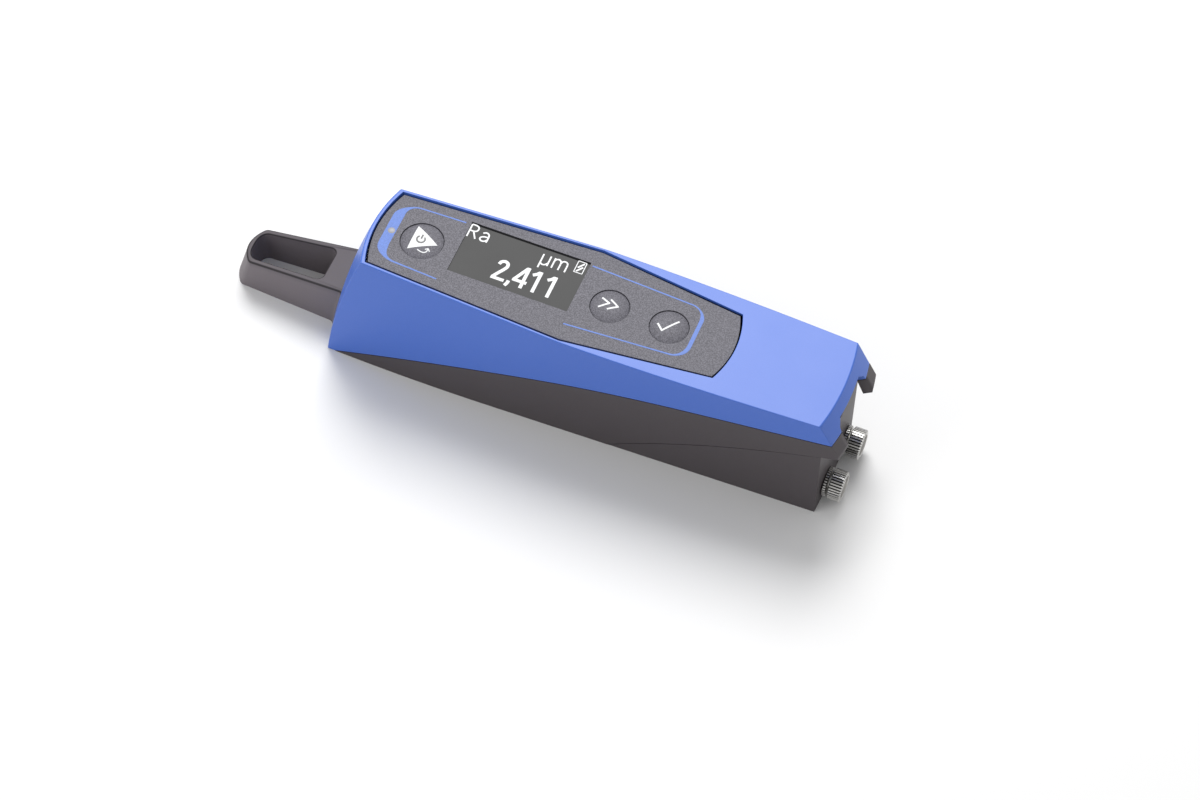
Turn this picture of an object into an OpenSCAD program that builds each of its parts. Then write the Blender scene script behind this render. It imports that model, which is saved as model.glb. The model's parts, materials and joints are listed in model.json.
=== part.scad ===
// Hand-held surface roughness tester: a moulded two-tone housing with a control
// panel, and a motor-driven pick-up that runs out through a slotted nose guard.
// Lengths are in millimetres. The part stands on Z = 0 with its nose towards -X.
// Places along X are first given from the display's centre, then the whole part
// is moved so that its overall length is centred on the origin.

/* [Housing] */
// Height of the housing
body_h = 34.4; // [34:0.2:42]
// From the display's centre to the front corners of the top
front_len = 33.3; // [33:0.1:38]
// From the display's centre to the rear corners of the top
rear_len = 78.3; // [77:0.1:88]
// Width across the front corners of the top
front_w = 22.9; // [22.4:0.1:26]
// Width of the top at its widest line
waist_w = 28.3; // [27.6:0.1:34]
// From the display's centre back to the widest line of the top
waist_x = 16.2; // [8:0.1:24]
// Width across the rear corners of the top
rear_w = 24.7; // [24:0.1:30]
// Width across the front corners of the foot
foot_w = 28.8; // [27.5:0.1:33]
// Width of the foot at its widest line
foot_waist_w = 30; // [29:0.1:36]
// From the display's centre forward to the widest line of the foot
foot_waist_x = 17; // [5:0.1:24]
// Width across the rear corners of the foot
rear_foot_w = 24.4; // [23.8:0.1:30]
// How far the foot stands ahead of the top at the front
front_lean = 8; // [6:0.1:10]
// Swell of the front face between top and foot
front_bulge = 1.1; // [0:0.05:1.6]
// Bow of the front face across its width
front_arc = 2; // [0.5:0.1:3]
// Bow of the rear face across its width
rear_arc = 1.3; // [0.3:0.1:2.5]
// Bow of the sides behind the widest line
side_bow = 0.45; // [0:0.05:1]
// How far the rear lip overhangs the rear edge of the top
lip_len = 5.1; // [4:0.1:7]
// Height of the sloping rear face above the lip's lower edge
lip_h = 9.5; // [8.5:0.1:11]
// Thickness of the side walls
wall = 1.8; // [1.2:0.1:2]
// Thickness of the floor
floor_t = 1.8; // [1.4:0.1:2.2]
// Chamfer on the rim of the top
rim_chamfer = 0.35; // [0.1:0.05:0.5]
// Half of the gap that shows at a parting line
seam = 0.06; // [0.03:0.01:0.12]

/* [Parting lines] */
// From the display's centre forward to where the blue shell's lower edge leaves the foot
seam_start = 39.5; // [37.5:0.1:40.5]
// Depth of the blue skirt at the rear lip
skirt_h = 5.9; // [5:0.1:7]
// Rise of the blue shell's edge at its front end
seam_front_rise = 0.37; // [0.3:0.01:0.42]
// Rise of the blue shell's edge at its rear end
seam_rear_rise = 0.11; // [0.06:0.01:0.16]
// From the display's centre back to where the base cover starts
cover_start = 29; // [27.5:0.1:31]
// Depth of the base cover's edge below the top at the rear lip
cover_drop = 10.6; // [10:0.1:12]
// Rise of the base cover's edge at its front end
cover_front_rise = 0.65; // [0.55:0.01:0.75]
// Rise of the base cover's edge at its rear end
cover_rear_rise = 0.27; // [0.2:0.01:0.34]
// How far the base cover's rear face stands in front of the lip
cover_setback = 4; // [3.2:0.1:4.6]
// Bow of the base cover's rear face across its width
cover_arc = 0.3; // [0.1:0.05:0.6]

/* [Rear notch] */
// Width of the notch in the rear lip
notch_w = 15.4; // [13:0.1:17]
// Depth of the notch's upper edge below the top
notch_drop = 3.2; // [3.1:0.1:4.5]
// Thickness of the rear bulkhead
bulkhead_t = 1.8; // [1.4:0.1:2.4]

/* [Control panel] */
// Width of the rim between the panel and the housing's front edge
panel_rim = 1; // [0.8:0.05:1.3]
// How far the panel lies below the rim
panel_recess = 0.5; // [0.3:0.05:0.8]
// Thickness of the panel
panel_t = 1; // [0.8:0.1:1.4]
// From the display's centre to the panel's rear corners
panel_rear = 51.4; // [49:0.1:56]
// Width across the panel's rear corners
panel_rear_w = 18.5; // [16:0.1:21]
// Bow of the panel's rear end
panel_arc = 1.9; // [0.5:0.1:3]
// Thickness of the deck under the panel
deck_t = 1.5; // [1.2:0.1:2]
// Length of the display's visible area
view_l = 29.4; // [27:0.1:30]
// Width of the display's visible area
view_w = 14.7; // [13:0.1:15]
// How far the display's centre lies from the middle line
view_y = 2.2; // [1.4:0.02:2.4]
// From the display's centre forward to the power key
power_key_x = 23.1; // [22.6:0.1:24]
// Radius of the power key
power_key_r = 5; // [4.4:0.1:5.1]
// From the display's centre back to the next key
next_key_x = 23.1; // [22.6:0.1:25]
// From the display's centre back to the enter key
enter_key_x = 37.5; // [36.6:0.1:40]
// Radius of the next and enter keys
small_key_r = 4.5; // [4:0.1:4.9]
// Height of a key's dome
key_dome = 0.55; // [0.3:0.05:0.8]
// Travel of a key
key_travel = 0.4; // [0.2:0.05:0.5]
// Radius of the status light
light_r = 0.85; // [0.6:0.05:1]
// From the display's centre forward to the status light
light_x = 30.7; // [30:0.1:31.2]

/* [Nose guard] */
// From the housing's front foot corners to the tip of the nose
nose_len = 28.8; // [27:0.1:32]
// Width of the nose's top where it leaves the housing
nose_w = 13.06; // [12.4:0.02:14]
// Width of the nose's top across its front corners
nose_tip_w = 10.4; // [10:0.1:11.2]
// How far each side of the nose widens towards the foot
nose_draft = 0.5; // [0.3:0.05:1]
// How far the foot of the nose's tip stands ahead of its top
nose_lean = 2.4; // [1.6:0.1:3]
// Bow of the nose's front end
nose_arc = 2.3; // [1.6:0.1:2.8]
// Height of the nose at the housing
nose_h = 12.4; // [12:0.1:13.2]
// Height of the nose at its tip
nose_tip_h = 9.5; // [8.4:0.1:10.4]
// Wall between the slot and the nose's tip
nose_rim = 1.3; // [1.1:0.1:2]
// Length of the slot beyond the pick-up's stroke
slot_spare = 4.5; // [3.6:0.1:4.8]
// Width of the slot at its rear end
slot_w = 9.4; // [8.4:0.1:9.8]
// Width of the slot at its round front end
slot_tip_w = 7.9; // [7:0.1:8.1]

/* [Traverse drive] */
// Stroke of the pick-up
stroke = 15; // [12:0.5:15]
// Height of the pick-up's axis
pick_z = 7; // [6.8:0.1:7.2]
// Radius of the pick-up
pick_r = 2.75; // [2.4:0.05:2.9]
// Height of the guide rods
rod_z = 12; // [11.8:0.1:12.3]
// Distance between the guide rods
rod_gap = 9.2; // [8.8:0.1:9.4]
// Radius of the guide rods
rod_r = 1.25; // [1:0.05:1.4]
// Height of the lead screw
screw_z = 18; // [17.8:0.1:18.2]
// Radius of the lead screw
screw_r = 1.5; // [1.2:0.05:1.7]
// Length of the drive frame
frame_len = 60; // [59:0.5:64]
// Width of the drive frame
frame_w = 13.2; // [12.8:0.1:13.6]
// Thickness of the drive frame's end plates
plate_t = 2.5; // [2:0.1:3]
// Length of the carriage
carriage_l = 12; // [10:0.5:13]
// Radius of the gearbox on the motor
gearbox_r = 5.5; // [5:0.1:5.8]
// Length of the gear motor
motor_l = 25; // [20:0.5:28]
// Length of the battery
battery_l = 38; // [30:0.5:39]
// Height of the battery
battery_h = 9.5; // [7:0.1:9.8]
// Width of the battery
battery_w = 19; // [15:0.5:20]

/* [Thumb screws] */
// Distance between the thumb screws
thumb_gap = 12.4; // [11:0.1:13]
// Height of the thumb screws
thumb_z = 4.8; // [4.6:0.1:6]
// Radius of a thumb screw's head
thumb_r = 3.65; // [3:0.05:4]
// Length of a thumb screw's head
thumb_l = 3.2; // [2.6:0.1:3.4]
// Radius of a thumb screw's shank
shank_r = 1.5; // [1.2:0.05:1.6]
// Thickness of a lock ring
ring_t = 0.9; // [0.6:0.1:1.1]
// Teeth of the knurl
knurl_teeth = 32; // [20:1:40]

/* [Hidden] */
$fn = 48;

// Colours
blue = [0.28, 0.40, 0.82];
dark = [0.24, 0.23, 0.25];
nose_grey = [0.33, 0.32, 0.34];
panel_grey = [0.45, 0.45, 0.47];
key_grey = [0.40, 0.40, 0.42];
board_green = [0.10, 0.33, 0.20];
steel = [0.75, 0.75, 0.77];
aluminium = [0.66, 0.67, 0.69];
brass = [0.80, 0.65, 0.33];
black = [0.10, 0.10, 0.11];

// Fits
slip = 0.15;        // clearance of pieces that are laid in place
run = 0.05;         // radial clearance of a running fit
snug = 0.02;        // clearance of a fixed fit
pass = 0.1;         // clearance of a screw through its hole
clear = 0.3;        // clearance inside the housing
eps = 0.01;

// Levels of the panel, its deck and the board, from the top
panel_top = body_h - panel_recess;
panel_low = panel_top - panel_t;
deck_low = panel_low - deck_t;
board_gap = 3.8;
board_t = 1.2;
board_w = 17.2;
board_top = deck_low - board_gap;
window_t = 0.8;
oled_t = 1.6;
view_margin_x = 1.3;
view_margin_y = 0.8;

// Facets of the moulded outline
n_arc = 8;
n_front = 3;
n_soft = 5;
n_rear = 5;
n_level = 4;
n_curve = 24;
soft_top = 3;       // half-length of the softened widest line at the top
soft_foot = 16;     // and at the foot

function mix(a, b, t) = a + (b - a) * t;
function bezier(p, t) =
    pow(1 - t, 3) * p[0] + 3 * t * pow(1 - t, 2) * p[1] + 3 * t * t * (1 - t) * p[2] + t * t * t * p[3];

// The housing's outline at a height: corners, widest line and faces
function drop(z) = 1 - z / body_h;
function front_x(z) = -front_len - front_lean * drop(z) - 4 * front_bulge * drop(z) * (1 - drop(z));
function front_hw(z) = mix(front_w, foot_w, drop(z)) / 2;
function waist_at(z) = mix(waist_x, -foot_waist_x, drop(z));
function waist_hw(z) = mix(waist_w, foot_waist_w, drop(z)) / 2;
function rear_hw(z) = mix(rear_w, rear_foot_w, drop(z)) / 2;
function lip_x(z) = rear_len + lip_len * min(1, (body_h - z) / lip_h);
function bow(z, t) = 4 * side_bow * (1 - drop(z)) * t * (1 - t);
function half_w(x, z) = x < waist_at(z)
    ? mix(front_hw(z), waist_hw(z), (x - front_x(z)) / (waist_at(z) - front_x(z)))
    : let (t = (x - waist_at(z)) / (lip_x(z) - waist_at(z))) mix(waist_hw(z), rear_hw(z), t) + bow(z, t);

// One side of the outline from front to rear, drawn in by an inset
function side_line(z, inset, rear) =
    let (
        f = [front_x(z) + inset, front_hw(z) - inset],
        w = [waist_at(z), waist_hw(z) - inset],
        r = [rear - inset, rear_hw(z) - inset],
        soft = mix(soft_top, soft_foot, drop(z)),
        s = soft / (r[0] - w[0]),
        a = w + (f - w) * soft / norm(f - w),
        b = mix(w, r, s) + [0, bow(z, s)]
    )
    concat(
        [for (k = [0:n_front - 1]) mix(f, a, k / n_front)],
        [for (k = [0:n_soft - 1]) let (t = k / n_soft) mix(mix(a, w, t), mix(w, b, t), t)],
        [for (k = [0:n_rear]) let (t = mix(s, 1, k / n_rear)) mix(w, r, t) + [0, bow(z, t)]]);

// A point of the bowed front face, at a share of the half-width
function front_point(corner, share, z) =
    [corner[0] - front_arc * (1 - share * share), share * corner[1], z];

// The whole outline at a height as a ring of points, anticlockwise from above
function outline(z, inset, rear, arc) =
    let (
        side = side_line(z, inset, rear),
        last = len(side) - 1,
        rhw = side[last][1]
    )
    concat(
        [for (k = [0:n_arc / 2 - 1]) front_point(side[0], -2 * k / n_arc, z)],
        [for (p = side) [p[0], -p[1], z]],
        [for (k = [1:n_arc - 1]) let (y = rhw * (2 * k / n_arc - 1))
            [side[last][0] + arc * (1 - pow(y / rhw, 2)), y, z]],
        [for (k = [last:-1:0]) [side[k][0], side[k][1], z]],
        [for (k = [n_arc / 2 - 1:-1:1]) front_point(side[0], 2 * k / n_arc, z)]);

// Faces that close a ring of n points by strips between its two halves
function strip(n) = [for (k = [0:floor((n - 1) / 2) - 1])
    k + 1 == n - 2 - k ? [k, k + 1, n - 1 - k] : [k, k + 1, n - 2 - k, n - 1 - k]];

// A solid through a stack of rings with equal point counts
module skin(rings) {
    n = len(rings[0]);
    m = len(rings);
    polyhedron(
        points = [for (ring = rings) for (p = ring) p],
        faces = concat(
            [for (q = strip(n)) q],
            [for (i = [0:m - 2]) for (k = [0:n - 1]) let (a = i * n + k, b = i * n + (k + 1) % n)
                each [[a, a + n, b], [b, a + n, b + n]]],
            [for (q = strip(n)) [for (k = [len(q) - 1:-1:0]) (m - 1) * n + q[k]]]));
}

// The moulded form with its sloping rear lip, drawn in by an inset
module lip_form(inset, z_low, z_high) {
    knee = body_h - lip_h;
    levels = concat([for (k = [0:n_level]) mix(z_low, knee, k / n_level)],
        [mix(knee, z_high, 0.5), z_high]);
    skin([for (z = levels) outline(z, inset, lip_x(z), rear_arc)]);
}

// The moulded form with its chamfered rim
module body_form() {
    knee = body_h - lip_h;
    levels = concat([for (k = [0:n_level]) knee * k / n_level], [mix(knee, body_h, 0.5)]);
    skin(concat(
        [for (z = levels) outline(z, 0, lip_x(z), rear_arc)],
        [outline(body_h - rim_chamfer, 0, lip_x(body_h - rim_chamfer), rear_arc)],
        [outline(body_h, rim_chamfer, lip_x(body_h), rear_arc)]));
}

// The front of the moulded form alone, for what seats against its face
module front_form(gap) {
    back = -front_len / 2;
    skin([for (k = [0:2 * n_level]) let (
            z = mix(-1, body_h, k / (2 * n_level)),
            corner = [front_x(z) - gap, front_hw(z)])
        concat(
            [for (i = [0:n_arc / 2]) front_point(corner, -2 * i / n_arc, z)],
            [[back, -front_hw(z), z], [back, front_hw(z), z]],
            [for (i = [n_arc / 2:-1:1]) front_point(corner, 2 * i / n_arc, z)])]);
}

// The form of the base cover, with a nearly flat rear face
cover_rear = rear_len + lip_len - cover_setback;
cover_high = body_h - cover_drop + 1;
module cover_form(inset, z_low, z_high) {
    skin([for (k = [0:n_level]) let (z = mix(z_low, z_high, k / n_level))
        outline(z, inset, cover_rear, cover_arc)]);
}

// Parting curves in the side view
far = 100;
seam_front_pull = 55;
seam_rear_pull = 52;
seam_end = [rear_len + lip_len, body_h - skirt_h];
seam_curve = [
    [-seam_start, 0],
    [-seam_start, 0] + seam_front_pull * [1, seam_front_rise],
    seam_end - seam_rear_pull * [1, seam_rear_rise],
    seam_end];
cover_front_pull = 14;
cover_rear_pull = 22;
cover_end = [rear_len + lip_len, body_h - cover_drop];
cover_curve = [
    [cover_start, 0],
    [cover_start, 0] + cover_front_pull * [1, cover_front_rise],
    cover_end - cover_rear_pull * [1, cover_rear_rise],
    cover_end];

// Everything on or above a parting curve, raised by an offset
module above(curve, rise, offset_z) {
    line = [for (k = [0:n_curve]) bezier(curve, k / n_curve) + [0, offset_z]];
    tail = curve[3] + far * [1, rise] + [0, offset_z];
    rotate([90, 0, 0])
        translate([0, 0, -far])
        linear_extrude(2 * far)
        polygon(concat([[-far, -far], [curve[0][0], -far]], line, [tail, [tail[0], far], [-far, far]]));
}

// Everything below the base cover's parting curve, from where it leaves the foot
module below_cover(offset_z) {
    line = [for (k = [0:n_curve]) bezier(cover_curve, k / n_curve) + [0, offset_z]];
    rotate([90, 0, 0])
        translate([0, 0, -far])
        linear_extrude(2 * far)
        polygon(concat([[cover_start, -far]], line,
            [cover_end + [far, offset_z], [cover_end[0] + far, -far]]));
}

module above_seam(offset_z) { above(seam_curve, seam_rear_rise, offset_z); }
module above_cover(offset_z) { above(cover_curve, cover_rear_rise, offset_z); }

// Overall reach along X, used to centre the part
nose_tip = -front_len - front_lean - nose_len;
head_gap = 0.4;
ring_x = cover_rear + cover_arc + run;
head_x = ring_x + ring_t + head_gap;
thumb_end = head_x + thumb_l;
notch_edge = lip_x(0) + rear_arc * (1 - pow(notch_w / rear_w, 2));
mid_x = (nose_tip + max(thumb_end, notch_edge)) / 2;
module in_place() { translate([-mid_x, 0, 0]) children(); }

// Plates and blocks centred on the middle line
module block(x0, x1, w, z0, z1) { translate([x0, -w / 2, z0]) cube([x1 - x0, w, z1 - z0]); }
module bar_x(x0, x1, y, z, r) { translate([x0, y, z]) rotate([0, 90, 0]) cylinder(h = x1 - x0, r = r); }
module bar_z(x, y, z0, z1, r) { translate([x, y, z0]) cylinder(h = z1 - z0, r = r); }
module bar_y(x, z, w, r) { translate([x, 0, z]) rotate([90, 0, 0]) cylinder(h = w, r = r, center = true); }
module both_sides() { for (s = [0, 1]) mirror([0, s, 0]) children(); }

// Housing screws: front posts rise from the floor, rear lugs stand on the side walls
post_r = 2.4;
post_split = 12;
post_back = 13.3;
post_x = -front_len + post_back;
post_y = half_w(post_x, post_split) - wall - post_r - clear;
lug_ahead = 12.3;
lug_x = rear_len - lug_ahead;
lug_drop = 14.6;
lug_low = body_h - lug_drop;
lug_t = 2;
lug_y = half_w(lug_x, body_h) - wall - post_r - clear;
hs_r = 0.9;
hs_head_r = 1.7;
hs_head = 1.4;
hs_bite = 6;
sink = floor_t + 1;

// Board screws hang the board from the deck
bs_back = 4.7;
bs_ahead = 20.3;
bs_edge = 1.7;
bs_y = board_w / 2 - bs_edge;
bs_places = [for (x = [-front_len + bs_back, rear_len - bs_ahead]) for (y = [-bs_y, bs_y]) [x, y]];
bs_boss_r = 1.7;
bs_r = 0.7;
bs_head_r = 1.4;
bs_head = 1;
bs_bite = 2.6;

// The rear bulkhead
bulk_back = 2.1;
bulk_rear = rear_len - bulk_back;
bulk_front = bulk_rear - bulkhead_t;
bulk_low = floor_t + clear;
bulk_high = deck_low - clear;
usb_w = 9;
usb_h = 3.2;
usb_l = 7.4;
board_back = 0.7;
board_front = -front_len + board_back;
board_rear = bulk_front - clear;

// Panel outline
panel_front_x = -front_len + panel_rim;
front_rim_share = 0.83;
waist_rim_share = 0.79;
panel_front_w = front_w - 2 * front_rim_share * panel_rim;
panel_waist_w = waist_w - 2 * waist_rim_share * panel_rim;
module panel_outline(grow) {
    fx = panel_front_x - grow;
    fhw = panel_front_w / 2 + grow;
    rx = panel_rear + grow;
    rhw = panel_rear_w / 2 + grow;
    whw = panel_waist_w / 2 + grow;
    polygon(concat(
        [[waist_x, -whw]],
        [for (k = [0:2 * n_arc]) let (y = rhw * (k / n_arc - 1))
            [rx + panel_arc * (1 - pow(y / rhw, 2)), y]],
        [[waist_x, whw]],
        [for (k = [0:2 * n_arc]) let (y = fhw * (1 - k / n_arc))
            [fx - front_arc * (1 - pow(y / fhw, 2)), y]]));
}

module view_block(grow_x, grow_y, z0, z1) {
    l = view_l + 2 * grow_x;
    w = view_w + 2 * grow_y;
    translate([-l / 2, view_y - w / 2, z0]) cube([l, w, z1 - z0]);
}

// Keys: places, radii and levels
keys = [[-power_key_x, power_key_r], [next_key_x, small_key_r], [enter_key_x, small_key_r]];
key_gap = 0.12;
key_flange = 0.8;
key_flange_t = 0.6;
key_stem_r = 1.6;
key_stem_gap = 0.1;
switch_w = 5;
switch_h = 1.6;
plunger_h = 0.4;
plunger_r = 1.2;
plunger_top = board_top + switch_h + plunger_h;
stem_low = plunger_top + key_travel + key_stem_gap;

// Nose and pick-up places
root_back = 3.4;
root_x = -front_len - front_lean + root_back;
flange_t = 2;
flange_h = 16.6;
flange_rear = root_x + flange_t;
slot_front = nose_tip + nose_lean + nose_rim;
slot_rear = slot_front + stroke + slot_spare;
tip_back = 0.8;
tip_rest = slot_rear + tip_back;
frame_rear = flange_rear + frame_len;
frame_h = 22.5;
frame_base_t = 1.5;
coupling_l = 7;
coupling_r = 3;
coupling_gap = 1;
coupling_rear = frame_rear - plate_t - coupling_gap;
coupling_front = coupling_rear - coupling_l;
carriage_gap = 2;
carriage_rear = coupling_front - carriage_gap;
carriage_front = carriage_rear - carriage_l;
socket_d = 5;
bush_r = 2.6;
nut_r = 3;
motor_shaft_r = 1;

// Stylus: a rocking arm inside the pick-up's hollow front
bore_r = 1.9;
skid_x = tip_rest + 1;
stylus_x = tip_rest + 3;
arm_l = 10;
pivot_x = stylus_x + arm_l;
arm_r = 0.45;
eye_r = 1.2;
pin_r = 0.5;
tip_clear = 0.35;   // stylus tip above the surface that the part stands on
skid_clear = 0.25;

// Nose outline at a height: straight flared sides, a root fillet that follows the raked front and a bowed end
root_fillet = 1.5;
root_fade = 0.7;   // how much less it is at the top
root_rake = 1.8;
root_steps = [-0.2, -0.8, -1.4, -2.2];    // places along the fillet
root_flare = [1, 1, 0.42, 0.12, 0, 0];    // shares of the fillet: root, those places, front corner
nose_buried = 4.6;
nose_root = root_x - nose_buried;
nose_corner = nose_tip + nose_arc + nose_lean;
function nose_share(x) = max(0, (nose_root - x) / (nose_root - nose_corner));
function nose_hw(x, u) = mix(nose_w, nose_tip_w, nose_share(x)) / 2 + nose_draft * (1 - u);
function nose_top(x) = mix(nose_h, nose_tip_h, nose_share(x));
function nose_ring(u, grow) =
    let (
        end_x = nose_corner - nose_lean * (1 - u),
        fillet = [for (k = root_steps) nose_root + root_rake * u + k],
        xs = concat([root_x], fillet, [end_x]),
        last = len(xs) - 1,
        side = [for (k = [0:last]) [xs[k], nose_hw(xs[k], u) + root_flare[k] * grow * (1 - root_fade * u)]],
        hw = side[last][1]
    )
    [for (p = concat(
        side,
        [for (k = [1:2 * n_arc - 1]) let (share = 1 - k / n_arc)
            [end_x - nose_arc * (1 - share * share), hw * share]],
        [for (k = [last:-1:0]) [side[k][0], -side[k][1]]]))
        [p[0], p[1], u * nose_top(p[0])]];

module nose_form(grow) { skin([nose_ring(0, grow), nose_ring(0.5, grow), nose_ring(1, grow)]); }

// Blue upper shell with its deck, bosses, nose opening and rear notch
module upper_shell() color(blue) in_place() {
    difference() {
        intersection() {
            body_form();
            above_seam(seam);
        }
        lip_form(wall, -1, deck_low);
        translate([0, 0, panel_low]) linear_extrude(panel_t + panel_recess + 1) panel_outline(slip);
        view_block(view_margin_x + slip, view_margin_y + slip, deck_low - 1, panel_low + 1);
        for (k = keys) bar_z(k[0], 0, deck_low - 1, panel_low + 1, k[1] + key_flange + slip);
        bar_z(-light_x, 0, deck_low - 1, panel_low + 1, light_r + slip);
        block(-far, root_x + slip, nose_w + 2 * nose_draft + 2 * slip, -1, nose_h + slip);
        rear_notch();
    }
    both_sides() difference() {
        intersection() {
            union() {
                bar_z(post_x, post_y, post_split, deck_low + eps, post_r);
                bar_z(lug_x, lug_y, lug_low + lug_t, deck_low + eps, post_r);
            }
            lip_form(wall - clear, 0, body_h);
        }
        bar_z(post_x, post_y, post_split - 1, post_split + hs_bite, hs_r + snug);
        bar_z(lug_x, lug_y, lug_low, lug_low + lug_t + hs_bite, hs_r + snug);
    }
    for (p = bs_places) difference() {
        bar_z(p[0], p[1], board_top, deck_low + eps, bs_boss_r);
        bar_z(p[0], p[1], board_top - 1, board_top + bs_bite, bs_r + snug);
    }
}

// The notch through the rear lip, under the deck's rear edge
notch_corner = 1.8;
module rear_notch() {
    top = body_h - notch_drop;
    hw = notch_w / 2;
    translate([bulk_rear, 0, 0]) rotate([90, 0, 90]) linear_extrude(far)
        polygon([[-hw, 0], [hw, 0], [hw, top - notch_corner], [hw - notch_corner, top],
            [-hw + notch_corner, top], [-hw, top - notch_corner]]);
}

// Dark middle shell: side bands, floor, front tongue, bulkhead, posts and lugs
module lower_shell() color(dark) in_place() difference() {
    union() {
        difference() {
            intersection() {
                body_form();
                above_cover(seam);
            }
            above_seam(-seam);
            lip_form(wall, floor_t, body_h + 1);
            rear_notch();
        }
        linear_extrude(floor_t) intersection() {
            polygon([for (p = outline(floor_t, wall + slip, lip_x(0), 0)) [p[0], p[1]]]);
            translate([-far - seam_start + 6, -far / 2]) square(far);
        }
        bulkhead();
        both_sides() {
            bar_z(post_x, post_y, floor_t - eps, post_split, post_r);
            translate([lug_x - 3, lug_y - post_r, lug_low])
                cube([6, half_w(lug_x, lug_low) - wall + clear - lug_y + post_r, lug_t]);
        }
    }
    block(-far, root_x + slip, nose_w + 2 * nose_draft + 2 * slip, -1, nose_h + slip);
    both_sides() {
        bar_z(post_x, post_y, -1, sink, hs_head_r + pass);
        bar_z(post_x, post_y, 0, far, hs_r + pass);
        bar_z(lug_x, lug_y, 0, far, hs_r + pass);
    }
}

// The bulkhead runs into the side walls of its own shell and stays clear of the other two
module bulkhead() difference() {
    at_bulkhead = 0.9;
    low = bezier(cover_curve, at_bulkhead)[1];
    high = bezier(seam_curve, at_bulkhead)[1] - 1;
    loose = wall + clear;
    tight = wall - clear;
    profile = [[bulk_low, loose], [low, loose], [low, tight],
        [high, tight], [high, loose], [bulk_high, loose]];
    right = [for (p = profile) [half_w(bulk_front, p[0]) - p[1], p[0]]];
    translate([bulk_front, 0, 0]) rotate([90, 0, 90]) linear_extrude(bulkhead_t)
        polygon(concat(right, [for (k = [len(right) - 1:-1:0]) [-right[k][0], right[k][1]]]));
    block(bulk_front - 1, bulk_rear + 1, usb_w + 2 * slip, board_top - slip, far);
    both_sides() bar_x(bulk_front - 1, bulk_rear + 1, thumb_gap / 2, thumb_z, insert_r + snug);
}

// Lower rear cover, held by the thumb screws
module base_cover() color(dark * 0.92) in_place() difference() {
    intersection() {
        difference() {
            cover_form(0, 0, cover_high);
            cover_form(wall, floor_t, cover_high + 1);
        }
        below_cover(-seam);
    }
    both_sides() bar_x(cover_rear - wall - 1, ring_x, thumb_gap / 2, thumb_z, shank_r + clear);
}

// Nose guard: tapered block with a slot right through it and a channel for the pick-up
module nose_guard() color(nose_grey) in_place() difference() {
    union() {
        difference() {
            nose_form(root_fillet);
            front_form(snug);
        }
        nose_form(0);
        block(root_x - eps, flange_rear, frame_w, floor_t + clear, flange_h);
    }
    translate([0, 0, -1]) linear_extrude(far) slot_outline();
    block(slot_rear - 1, slot_rear + 6, 2 * channel_r, -1, pick_z);
    bar_x(slot_rear - 1, flange_rear + 1, 0, pick_z, channel_r);
    both_sides() bar_x(root_x - 1, flange_rear + 1, ns_y, ns_z, ns_r + snug);
}
channel_gap = 0.55;
channel_r = pick_r + channel_gap;

module slot_outline() {
    r = slot_tip_w / 2;
    end_l = 2.9;
    square = 0.77;   // squares the round end up
    corner = 1.6;
    hw = slot_w / 2;
    polygon(concat(
        [for (k = [0:2 * n_arc]) let (a = 90 + 90 * k / n_arc, across = sin(a))
            [slot_front + end_l * (1 - pow(max(0, -cos(a)), square)),
                r * sign(across) * pow(abs(across), square)]],
        [for (k = [0:3]) let (a = -90 + 30 * k)
            [slot_rear - corner + corner * cos(a), -hw + corner + corner * sin(a)]],
        [for (k = [0:3]) let (a = 30 * k)
            [slot_rear - corner + corner * cos(a), hw - corner + corner * sin(a)]]));
}

// Control panel with its window and key holes
module panel_overlay() color(panel_grey) in_place() difference() {
    translate([0, 0, panel_low]) linear_extrude(panel_t) panel_outline(0);
    view_block(0, 0, panel_low - 1, panel_top + 1);
    for (k = keys) bar_z(k[0], 0, panel_low - 1, panel_top + 1, k[1] + key_gap);
    bar_z(-light_x, 0, panel_low - 1, panel_top + 1, light_r + run);
}

module display_window() color([0.7, 0.75, 0.8, 0.4]) in_place()
    view_block(view_margin_x, view_margin_y, panel_low - window_t, panel_low);

oled_top = panel_low - window_t;
module oled_module() color(black) in_place()
    view_block(view_margin_x, view_margin_y, oled_top - oled_t, oled_top);

tray_t = 0.8;
module display_frame() color([0.85, 0.85, 0.83]) in_place() difference() {
    view_block(view_margin_x, view_margin_y, board_top, oled_top - oled_t);
    view_block(-1, -1, board_top - 1, oled_top - oled_t - tray_t);
}

module main_board() color(board_green) in_place() difference() {
    block(board_front, board_rear, board_w, board_top - board_t, board_top);
    both_sides() {
        bar_z(post_x, post_y, 0, far, post_r + clear);
        bar_z(lug_x, lug_y, 0, far, post_r + clear);
    }
    for (p = bs_places) bar_z(p[0], p[1], 0, far, bs_r + pass);
}

module key_switches() color(black) in_place() for (k = keys) {
    translate([k[0] - switch_w / 2, -switch_w / 2, board_top]) cube([switch_w, switch_w, switch_h]);
    bar_z(k[0], 0, board_top + switch_h - eps, plunger_top, plunger_r);
}

led_l = 1.6;
led_w = 0.9;
led_h = 0.8;
module status_led() color([0.95, 0.95, 0.9]) in_place()
    block(-light_x - led_l / 2, -light_x + led_l / 2, led_w, board_top, board_top + led_h);

module light_pipe() color([0.8, 0.82, 0.85]) in_place()
    bar_z(-light_x, 0, board_top + led_h + pass, panel_top, light_r);

usb_wall = 0.3;
module usb_socket() color(steel) in_place() difference() {
    block(bulk_rear - usb_l, bulk_rear, usb_w, board_top, board_top + usb_h);
    block(bulk_rear - usb_l + 1, bulk_rear + 1, usb_w - 2 * usb_wall,
        board_top + usb_wall, board_top + usb_h - usb_wall);
}

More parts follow.
